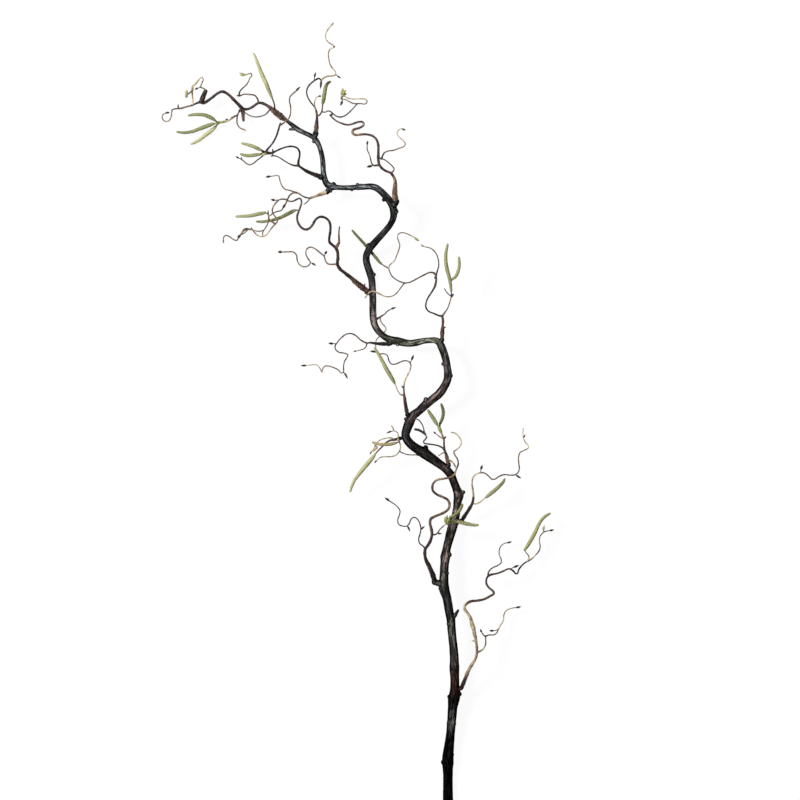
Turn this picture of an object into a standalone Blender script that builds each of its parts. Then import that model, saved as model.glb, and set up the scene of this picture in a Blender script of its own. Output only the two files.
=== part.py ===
"""Contorted hazel branch, cut from its tree and laid on a flat surface.

The branch lies along +Y with its cut foot near the origin, and +Z points up.
Routes are written in millimetres: x and y run across the surface, z is the
height above it. A point without a height lies evenly between its neighbours,
and the first point of a side twig is set on the twig that it grows from.
"""

import math

import bmesh
import bpy
import numpy as np

MM = 0.001

# Fit and mesh sizes, in millimetres
SEAT_GAP = 0.3
CURVE_STEP = 0.8
SAG_TOLERANCE = 0.85
RADIUS_TOLERANCE = 0.5
LONGEST_RING_STEP = 20.0
BEND_MARGIN = 1.6
STUB_REACH = 7.0
STUB_COLLAR = 1.14
CATKIN_RING_STEP = 5.4
CATKIN_SIDES = 6
CATKIN_SCALE_RELIEF = 0.15
BUD_RISE = 0.25
BUD_NECK_RADIUS = 0.6
BUD_SIDES = 4
BUD_FOOT_WIDTH = 0.6
BUD_WIDEST = 0.35
BUD_SHOULDER = 0.72
BUD_SHOULDER_WIDTH = 0.7
EASING_ROUNDS = 80
SIDES_BY_RADIUS = ((3.6, 9), (2.2, 7), (1.25, 6), (0.98, 5))
FEWEST_SIDES = 4
WIDTH_WEIGHT = 0.4
LEAST_RING_STEP = 0.15
TURN_LIMIT = 0.55
STEM_SIDES = 9
STEM_UNEVENNESS = 0.04
STEM_ROOM = 1.06
CLEARANCE_SAMPLES = 24
STUB_ROOT_SHARE = 0.8
STUB_ROOT_WIDTH = 1.3
STUB_COLLAR_LENGTH = 1.6
JOIN_REACH = 1.2
JOIN_HEIGHT = 5.0
FLOOR_ROOM = 0.25
WELD_DISTANCE = 0.002
STRAIGHT_START = 1.2
SHOULDER_LENGTH = 8.0
LEAF_BUD_STALK = 3.0
LEADER = "leader_spray"
TINY = 1e-9
EASED_SAMPLES = 5
NEAR_UPRIGHT = (0.13, 0.21, 1.0)
FEWEST_CATKIN_RINGS = 5
UNEVEN_ROUND = 2.3
UNEVEN_ALONG = 1.1
RIM_SAMPLES = 8
STALK_SAMPLES = 4
STALK_RADIUS = 1.0

# Main stem: x, y, z and diameter along its centre line
STEM = [
    (0.3, -28, 5.3, 12.6), (0, -10, 5.2, 12.2), (0, 10, 5.2, 12.4), (-0.4, 24, 5.6, 13.2),
    (-0.5, 31, 6.2, 14.6), (0.2, 41, 7.0, 14.0), (2, 53, 8.3, 12.3), (3.4, 68, 10.2, 11.2),
    (3.9, 78, 11.5, 11.4), (4.2, 81, 11.9, 12.2), (4.4, 84, 12.3, 11.2), (6, 101, 14.6, 11.6),
    (7.4, 111, 16, 14.6), (8.6, 118, 17, 14.6), (8.5, 126, 18.1, 12.4), (8.3, 140, 20, 11.4),
    (8.1, 151, 21.5, 12.2), (8.0, 158, 22.5, 11.0), (7.2, 172, 24.5, 10.9), (5.6, 190, 26.5, 10.6),
    (4.6, 203, 27.5, 10.6), (3.4, 213, 27.9, 11.0), (1.4, 221, 28, 10.8), (-1.6, 238, 27.4, 11.6),
    (-4.6, 249, 26.4, 13.4), (-5.1, 258, 25.3, 11.6), (-4.9, 270, 23.5, 10.4),
    (-4.2, 281, 21.5, 10.8), (-2.8, 291, 19.3, 13.2), (-1.7, 299, 17.5, 10.8), (1, 310, 14.8, 11),
    (5, 324, 10.4, 12), (7.6, 332, 8.0, 11.8), (9.9, 341, 5.6, 10.4), (11, 350, 4.5, 9.8),
    (11.8, 358, 4.6, 10.6), (12.9, 366, 6.2, 12.8), (10.2, 375, 9.5, 10.2), (7.6, 382, 13.5, 10),
    (5.5, 388, 18, 10.2), (1.5, 394.5, 22.5, 11), (-5, 401, 26, 11), (-13, 407, 29, 11.3),
    (-22, 413.5, 31.5, 12), (-30, 419, 33, 13.6), (-38, 423.5, 33.6, 12), (-45.5, 429, 33.2, 11.6),
    (-51, 435.5, 31.5, 11), (-53, 442, 29.3, 10.6), (-51.5, 448.5, 27.2, 11.4),
    (-48, 458, 24.8, 12.2), (-44.5, 465.5, 23.8, 11.2), (-37, 471.5, 23.8, 10.4),
    (-28, 479.5, 25.3, 11.6), (-20, 485.8, 27.5, 10.4), (-11, 493.5, 30.5, 10.4),
    (-4.5, 502.5, 33, 10), (-0.8, 511, 34.5, 10.2), (-0.2, 518, 35, 10.6), (-1.2, 526, 35, 9.6),
    (-3.2, 537, 34.2, 9.4), (-5.5, 545, 33, 9.6), (-8, 552, 31.2, 9.8), (-10.8, 557.2, 29, 8.8),
    (-16, 560, 27, 7.8), (-23, 560, 25, 7.4), (-31, 559, 22.5, 7.6), (-39, 557, 20, 8.8),
    (-47, 556, 17.5, 8.6), (-55, 557, 15, 9.4), (-63, 559, 12.8, 10.2), (-70, 560.3, 11, 9.8),
    (-76.5, 562.8, 9.4, 8.8), (-83, 567.3, 7.8, 8.4), (-88, 572.5, 6.5, 8.4), (-91.6, 579, 5.2, 8.4),
    (-93.4, 587, 4.3, 8.5), (-94.1, 600, 3.8, 8.6), (-94.1, 612, 3.8, 9), (-94.3, 624, 3.8, 8.8),
    (-95.3, 636, 4.2, 8.9), (-97.3, 643.5, 5, 9.4), (-99.8, 650, 6.5, 9), (-102, 657, 9, 8.8),
    (-102.6, 663.5, 12, 8.8), (-100.8, 670, 15.5, 9), (-96.8, 676, 19, 9.2), (-92, 681.5, 22.5, 8.8),
    (-85.5, 689, 26.5, 8), (-78.5, 697, 30.5, 7.6), (-72.5, 704.5, 34, 7.8), (-68.8, 712, 37, 8.4),
    (-67.8, 720, 39.5, 10), (-69.3, 727.5, 41.3, 9.6), (-73, 734, 42.4, 9), (-78, 740, 43, 8.4),
    (-83.5, 745.8, 42.8, 8.4), (-89.5, 750.2, 42, 8.6), (-96.5, 752, 40.5, 8),
    (-104, 751.5, 38.5, 7.6), (-112.5, 751.2, 36, 8.2), (-115.5, 750.8, 35, 6.6),
    (-124, 750.4, 32.5, 6.4), (-133, 750.7, 30, 6), (-139, 751.3, 28.3, 6.6),
    (-143.5, 752, 27, 9.2), (-148.5, 752.8, 26, 9.2), (-152.5, 757, 26, 8.2),
    (-155, 764, 27, 7.6), (-156, 772, 28.2, 6.6), (-156.3, 781, 29.5, 6.2), (-157.6, 791, 30.5, 6),
    (-160.2, 800.5, 31, 6.1), (-163.4, 807.5, 30.8, 6.8), (-167, 812.6, 30, 7.2),
    (-172.5, 816, 28.5, 6.2), (-180, 819.5, 26.5, 5.6), (-187.5, 823.3, 24.8, 6.4),
    (-193.5, 828, 23.4, 5.6), (-199, 832.2, 22.3, 4.6), (-202.2, 834.9, 21.9, 4.4),
]

# Knots and broken spurs on the stem: foot, tip and width
STEM_KNOTS = [
    ((-1, 33, 8), (-8.6, 32, 12), 9), ((0, 40, 8), (7.6, 43, 12), 7),
    ((5, 112, 17), (0.2, 116, 22), 8), ((9, 116, 17), (17.4, 119, 19), 8),
    ((5, 205, 27), (-1.6, 206.5, 31), 7), ((6, 212, 28), (13.8, 224.5, 33), 5),
    ((-3, 249, 27), (-12.4, 250.5, 28), 8), ((-4, 271, 23), (1.2, 268, 28), 5),
    ((-3, 290, 19), (4.6, 293, 23), 8), ((-3, 290, 19), (-10, 288, 21), 7),
    ((12, 366, 6.5), (22, 371.5, 9), 7), ((5, 389, 18), (6.5, 396, 22), 9),
    ((-29, 420, 34), (-27.5, 429.5, 37), 8), ((-35, 422, 34), (-39, 415.5, 35), 6),
    ((-28, 480, 26), (-27.5, 489.5, 28), 7), ((-48, 459, 25), (-55.2, 463, 26), 6),
    ((-0.5, 516, 35), (6.4, 515.5, 36), 7), ((-2, 531, 35), (-8.8, 530, 36), 6),
    ((-62, 559, 13), (-63.5, 552.5, 15), 6), ((-95.5, 641, 5), (-90.2, 643.5, 6.5), 6),
    ((-97, 677, 19), (-101.6, 680.5, 21), 7), ((-68, 720, 40), (-61.6, 722, 40), 8),
    ((-69, 726, 41), (-62.6, 731.5, 42), 6), ((-77, 738, 43), (-82.3, 733.5, 43), 6),
    ((-113, 752, 36), (-113.5, 757, 37), 5), ((-120, 750, 34), (-120.5, 746, 34), 5),
    ((-144, 752, 27), (-142, 758, 28), 7), ((-147, 751, 26), (-147.5, 744, 25), 7),
    ((-66, 731.5, 45), (-61.2, 730.8, 46), 4.4), ((-165, 810, 30), (-170, 807.5, 31), 6),
    ((-190, 824.5, 24.5), (-199.8, 823.4, 24), 4.4),
]

# Side sprays. A run is its diameters, spread evenly along it, and its route.
# The first run starts with the thick sleeve that sits on the stem's stub.
# A bud is its foot (x, y), its tip (x, y), its width and the length of its neck.
SPRAYS = {
    "spray_low_right": {
        "runs": {
            "main": ((4.8, 4.4, 3.2, 3.4, 4.4, 3.4, 3.2, 3.0, 2.8, 2.4), [
                (17.6, 127.5, 20), (20, 133), (23, 141), (26.8, 149.5), (30.3, 155.5), (34, 161.5),
                (36, 169, 33), (35.8, 178), (34.8, 186), (32.8, 196), (30.5, 206, 46), (26, 217),
                (21.5, 223), (20, 226.5, 52), (22.5, 230.5), (28, 234), (36, 234.9), (45, 236.7, 46),
                (52.5, 240.5), (57.5, 243.8, 38), (56, 246.8), (51, 251), (48, 256), (48, 261.5),
                (50, 265.5, 26)]),
            "right_low": ((2.0, 1.8), [(36, 170), (40, 171.5), (44.3, 174.8), (46.9, 180), (47, 186),
                                       (46.8, 189.8, 24)]),
            "right_low_left": ((1.6, 1.4), [(46.8, 189.8), (44, 192), (42.3, 194.8, 22)]),
            "right_low_right": ((1.6, 1.5, 1.6), [(46.8, 189.8), (50.5, 191.6), (57.5, 191.9), (61.5, 195),
                                                  (62.3, 197.8, 18)]),
            "right_low_tip": ((1.6, 1.4, 1.4), [(62.3, 197.8), (65.5, 203.5), (69.3, 210, 13), (70, 217),
                                                (72.5, 221.8), (79, 224.8), (85, 226, 12)]),
            "upper": ((1.8, 1.5, 1.4), [(50, 265.5), (50.3, 269), (52.5, 273), (57, 276.3), (62.5, 278.7, 20),
                                        (66.3, 282), (66.5, 286), (64.3, 291.5), (64.2, 298, 11), (66.5, 303),
                                        (70.5, 306), (74, 307, 8)]),
            "right": ((2.4, 2.2, 2.0), [(50, 265.5), (54, 267.2), (62, 268.8), (69, 271.5), (76, 274.4, 22),
                                        (81, 272.2), (84.5, 268.3), (86.8, 267, 18), (88, 272), (91, 277),
                                        (95.5, 281.3), (99, 283.5, 17)]),
            "catkin_stalk": ((1.8, 1.5), [(99, 283.5), (101.2, 287.5), (100.6, 291), (98, 294), (96.5, 296.5, 22)]),
            "far_right": ((1.8, 1.6, 1.5), [(99, 283.5), (103.5, 285.8), (109.5, 291.5), (114.3, 297.5, 11),
                                            (115.4, 303), (114.2, 309), (115.5, 315.5), (119.3, 320, 8)]),
            "far_right_tip": ((1.5, 1.3), [(119.3, 320), (124, 321.6), (127, 322, 7)]),
        },
        "buds": [(33.5, 184, 29, 184.8, 2.2, 0), (42.3, 194.8, 40.6, 199.5, 2.6, 0),
                 (62.3, 197.8, 51.3, 197, 2.8, 5), (85, 226, 91.6, 227.2, 2.8, 0),
                 (74, 307, 80, 308.6, 2.6, 0), (77.5, 274, 89, 279, 3, 5),
                 (119.3, 320, 121, 329, 3, 2), (127, 322, 133, 323, 2.6, 0)],
    },
    "spray_low_left": {
        "runs": {
            "main": ((6.6, 5.6, 3.8, 3.8, 3.6, 3.4, 3.2, 3.2, 3.0, 2.8, 2.4, 2.0, 1.8, 1.6, 1.4), [
                (-16.8, 259.8, 27), (-18.8, 266), (-21, 272), (-24, 278.5), (-27.2, 285), (-29, 292, 40),
                (-28.5, 299), (-25, 304.3), (-21.5, 311), (-20.1, 318, 46), (-21, 325), (-22.6, 332),
                (-21.5, 336.8), (-16.5, 340), (-9, 343, 38), (-2.5, 346.4), (1.3, 350.8), (1.8, 356),
                (-0.8, 361), (-7, 364.3, 34), (-14, 367.5), (-18.7, 371.8), (-19.6, 377.5), (-17.2, 383),
                (-12, 386, 34), (-5, 387.2), (2, 388.6), (7.5, 392, 33), (10, 398), (12.8, 405.5),
                (11.8, 411.5), (8.3, 417), (7.3, 420.8, 24), (10.5, 423.3), (15, 427.5), (16.5, 433),
                (14, 439), (8.5, 444), (3, 445, 18)]),
            "left": ((1.8, 1.6, 1.5, 1.4), [
                (-28.5, 299), (-31, 302.8), (-35.2, 306), (-36.7, 311.5, 36), (-35, 318), (-34, 324),
                (-35.2, 331), (-38.5, 336.8, 30), (-42.5, 338.8), (-46, 336.5), (-48.5, 331),
                (-51.5, 327.8, 22), (-57, 327.8), (-61.5, 330), (-62.9, 335), (-61, 341, 14),
                (-60, 346.5), (-62.5, 351), (-68, 355.8), (-73, 359, 8)]),
            "front": ((1.7, 1.5), [(-20.1, 318), (-16.5, 317.2), (-13.5, 319), (-10, 324), (-6, 327.8),
                                   (-1.8, 331, 40)]),
            "front_stalk_up": ((2.6, 3.0), [(-1.8, 331), (0.2, 334.5), (2, 338, 43)]),
            "front_stalk_right": ((2.8, 3.4), [(-1.8, 331), (2, 332.6), (6, 333.8, 36)]),
        },
        "buds": [(-34.2, 323, -28.8, 327.8, 2.6, 0), (-51, 327.8, -47.6, 320.6, 2.6, 0),
                 (-73, 359, -79.4, 363.3, 3, 0), (-13.6, 318.8, -7.6, 319, 2.4, 0),
                 (-1.8, 331, -3.8, 339.6, 5.0, 0), (-1.8, 331, -0.6, 342.2, 4.2, 0)],
    },
    "spray_mid_right": {
        "runs": {
            "main": ((4.8, 4.0, 2.6, 1.9, 1.8, 1.7, 1.6, 1.6, 1.5, 1.4, 1.3), [
                (17.8, 335.5, 12), (21, 340.5), (24.5, 346), (27.8, 351.3), (30.3, 356.3, 24), (31.6, 362.5),
                (31.4, 370), (30.4, 377, 38), (30, 383), (31.2, 388.8), (35, 392.8), (40, 394.6, 50),
                (46, 394), (50.5, 390.5), (54.5, 386.7), (58.5, 386.7), (63.5, 390, 56), (70, 392.2),
                (78, 391.6), (84, 392.2), (87.8, 395.6, 52), (88.9, 400.5), (88.2, 407), (88, 414),
                (90, 419.8, 40), (95, 422.5), (100, 425.4), (100.2, 428.3), (96.8, 432.3),
                (94, 438, 30), (93.5, 444.5), (94.2, 450.7, 26)]),
            "catkin_stalk": ((1.8, 1.6), [(30.3, 356.3), (34, 355.6), (38.5, 356.8), (42.8, 360.2), (46.5, 363, 27)]),
        },
        "buds": [(41, 394.6, 43, 404.5, 3.2, 4), (84, 392, 91.4, 387.5, 2.8, 1),
                 (94, 438, 96.5, 443, 2.0, 0)],
    },
    "spray_middle": {
        "runs": {
            "main": ((5.0, 4.4, 3.0, 2.4, 2.4, 2.2), [
                (0.2, 405.8, 29), (-1.2, 412), (-2.6, 418), (-4.2, 422.5, 33), (-5, 429), (-5.3, 436, 38),
                (-6.8, 440), (-8.3, 444.3, 42)]),
            "bract": ((2.2, 3.6, 3.0), [(-8.3, 444.3), (-10.3, 448.8), (-12.8, 453.4, 43)]),
            "bract_low": ((2.0, 2.2), [(-10.3, 448.8), (-10.4, 451.4), (-10.2, 454, 36)]),
            "left_up": ((1.6, 1.3), [(-5.3, 436.5), (-9.3, 438.7), (-13, 441.5, 40), (-15, 443.2)]),
            "to_stem": ((1.5, 1.3), [(-4.2, 421), (-8, 418.2), (-12.5, 415.6, 40)]),
            "side": ((2.0, 1.8, 1.7), [(-4.2, 422), (-7.5, 426), (-13, 428.5), (-20, 429.8, 38), (-26, 430.6),
                                       (-30.5, 431.6, 43), (-31.3, 433.3), (-28.8, 435.8), (-26.8, 438.8),
                                       (-28, 442, 40)]),
            "side_thick": ((1.8, 3.2, 3.2), [(-28, 442), (-33, 446), (-37, 448), (-42.5, 449, 36)]),
            "side_thin": ((1.6, 1.5, 1.4), [(-28, 442), (-29.8, 446), (-30.8, 451), (-33.3, 456.5), (-37, 460.5, 38),
                                            (-41, 461.7), (-46, 460.5, 37), (-50, 458.5), (-54, 457, 35)]),
            "short_dark": ((2.2, 1.8), [(-0.6, 409.8), (3.6, 409.2, 33), (7.4, 405.6, 34.5), (9.6, 401, 35)]),
        },
        "buds": [(-15, 443.2, -18.5, 446, 2.2, 0), (-5.3, 436.5, -2.4, 440.5, 2.6, 0)],
    },
    "spray_left_cluster": {
        "runs": {
            "main": ((3.6, 3.0, 2.2, 2.0, 1.8), [
                (-60.8, 437.2, 31.5), (-67, 435.9), (-73, 434.6), (-78, 431.5, 36), (-82, 427.3),
                (-86.5, 423), (-90, 419, 38)]),
            "upper_arc": ((1.7, 1.4), [(-66, 436), (-72, 438.2, 37), (-79, 437.4), (-84, 435.8), (-87.5, 433.5, 38),
                                       (-90, 429.5), (-92.5, 425), (-95.5, 421.5, 37)]),
            "catkin_stalk": ((1.8, 1.7), [(-63.5, 436.7), (-61.4, 435.3, 35), (-61.6, 433.2), (-64, 432.2, 42)]),
            "left_up": ((1.7, 1.5), [(-63, 436.9), (-62.2, 441), (-63.5, 444.8), (-67.5, 447, 36)]),
            "loop": ((1.8, 1.6, 1.5, 1.4), [(-63.2, 436.8), (-60.6, 432.5, 27), (-59.4, 427), (-60.8, 421.3), (-64.5, 416.9),
                                            (-70, 414.8, 24), (-78, 414.5), (-84.5, 413.7), (-89, 410, 20)]),
            "under_loop": ((1.5, 1.4), [(-60.8, 421.3), (-57, 419.3, 22), (-51, 417.3), (-44, 416.7, 18),
                                        (-38.5, 417, 15)]),
        },
        "buds": [(-67.5, 447, -71.6, 454.6, 2.0, 0), (-67.5, 447, -77.3, 443.6, 2.4, 3),
                 (-89, 410, -92.5, 406.5, 2.2, 0), (-95.5, 421.5, -98, 417.5, 2, 0)],
    },
    "spray_mid_left": {
        "runs": {
            "main": ((4.8, 4.2, 2.2, 1.9, 1.7, 1.6, 1.6, 1.5, 1.4), [
                (-50.9, 468.6, 29), (-52.2, 474), (-53.2, 480), (-54, 486.5), (-54.7, 491, 34), (-55.2, 498),
                (-55, 504.5), (-53.4, 511, 40), (-50.2, 517.5), (-47.2, 524), (-46.6, 530), (-49.5, 533.6, 40),
                (-55, 534.4), (-60.5, 532.4), (-66, 530.2), (-71, 530.5, 33), (-74, 535), (-75.8, 541),
                (-80, 543.2), (-86, 543, 26), (-90.5, 545.2)]),
            "catkin_stalk": ((1.7, 1.6), [(-54.7, 491), (-59, 492.2), (-62.4, 496), (-64.5, 501), (-66.3, 505.3, 38)]),
        },
        "buds": [(-90.5, 545.2, -98, 546.3, 2.8, 0), (-47, 531.4, -42.8, 542, 3, 4),
                 (-55.2, 500, -58.5, 504, 1.8, 0)],
    },
    "spray_right_loops": {
        "runs": {
            "main": ((4.6, 5.0, 4.8, 3.2, 3.0, 3.2), [
                (-7.4, 562.8, 32), (-7.2, 568), (-6.9, 574), (-6.5, 580), (-6.4, 585.5), (-7.3, 590, 40)]),
            "left": ((2.2, 2.0, 2.0, 2.0, 2.8, 2.6), [
                (-7.3, 590), (-12, 591), (-18, 593.6), (-24, 596), (-27.4, 600.5, 44), (-27.6, 606), (-25, 613),
                (-20.5, 620), (-16.8, 626.5, 50), (-15.1, 633), (-15, 641, 52)]),
            "left_loop": ((2.2, 1.8, 1.6), [(-15, 641), (-18, 644), (-23, 644.6), (-29, 642), (-36, 638.4, 50),
                                            (-43, 634.6), (-49, 632), (-54.5, 631.4, 44)]),
            "left_upper": ((1.6, 1.5), [(-54.5, 631.4), (-60, 633.2), (-66, 636.6), (-70.3, 640.5), (-73, 646),
                                        (-74.5, 650.3, 34)]),
            "catkin_stalk": ((1.6, 1.5), [(-74.5, 650.3), (-78, 652), (-82, 654.6, 27)]),
            "small_catkin_arm": ((1.5, 1.4, 1.3), [
                (-74.5, 650.3), (-73.3, 653.3), (-70, 656.8), (-66.7, 659.8), (-64.5, 665), (-61.8, 672),
                (-60.3, 678.5, 46), (-61.8, 684), (-63.2, 689), (-61.7, 693), (-57, 694.4), (-51, 692.9),
                (-45, 690, 38), (-42, 688.3)]),
            "over_stem": ((1.5, 1.4, 1.4, 2.0, 1.8), [
                (-54.5, 631.4), (-58.5, 626.3), (-63, 620.3, 32), (-68, 616), (-74, 614.4), (-80, 615.3, 20),
                (-86, 618.4), (-92, 620.9, 16), (-97, 620.5), (-100.5, 617.5, 16), (-104, 612.5, 14)]),
            "over_stem_fork": ((1.7, 1.5), [(-100.3, 617.7), (-104.8, 619.3, 16)]),
            "right_up": ((1.8, 1.5, 1.4), [(-15, 641), (-13.7, 645.5), (-12, 651), (-11.7, 657, 60), (-13, 663.5),
                                           (-15.8, 669.3), (-20, 673.7), (-25, 675.9), (-28.5, 676.4, 56)]),
            "right": ((2.0, 1.4, 1.6), [(-7.3, 590), (-4.5, 594), (-1, 599), (1.4, 605), (3, 610.5), (4, 614.5, 48)]),
            "right_twig": ((1.4, 1.2), [(4, 614.5), (0.5, 617.5), (-2.3, 620.8), (-5, 625, 53)]),
            "pair_stalk": ((1.7, 1.6), [(4, 614.5), (4.3, 617), (4.1, 620, 50)]),
        },
        "buds": [(-42, 688.3, -35.4, 683.6, 3, 0), (-28.5, 676.4, -34.4, 679.6, 2.4, 2),
                 (3.6, 613.3, 7.6, 618.2, 2.8, 0), (-6.6, 575, -2.4, 577, 2.4, 0),
                 (-15, 637, -17.6, 639, 3, 0)],
    },
    "spray_far_left_low": {
        "runs": {
            "main": ((4.8, 4.4, 3.0, 1.9), [(-75.5, 555.6, 14), (-82, 555.5), (-90, 556), (-97, 557),
                                            (-101.3, 556.4, 18)]),
            "upper": ((1.8, 1.7, 1.6, 1.5, 1.4), [
                (-101.3, 556.4), (-105.5, 558.2), (-110, 561), (-115, 565.7), (-121, 568.4, 26), (-127.5, 567.5),
                (-133.5, 563), (-138, 557.8), (-141, 553, 22), (-140.6, 548.8), (-136.5, 545.2), (-130, 544),
                (-125.3, 542, 14), (-126.2, 538.8), (-129.2, 534), (-130.6, 528), (-131, 520, 5),
                (-134, 519.4), (-137, 522.9), (-143, 526), (-150, 528, 4), (-154, 527.8), (-157, 523.5),
                (-157.7, 519.5, 3)]),
            "tip": ((1.2, 1.3), [(-157.7, 519.5), (-160.5, 525.4), (-164, 529), (-170, 529.4), (-177, 528.6, 7)]),
            "lower": ((1.5, 1.3), [(-101.3, 556.4), (-102.6, 552), (-105.5, 549.3), (-111, 547.6),
                                   (-114, 546.8, 14)]),
        },
        "buds": [(-139.6, 556.2, -149.8, 556.6, 3, 4), (-131, 520.5, -125.4, 511.4, 2.6, 1),
                 (-177, 528.6, -184.6, 528.3, 2.6, 0), (-114, 546.8, -118.5, 545.6, 2, 0)],
    },
}
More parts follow.
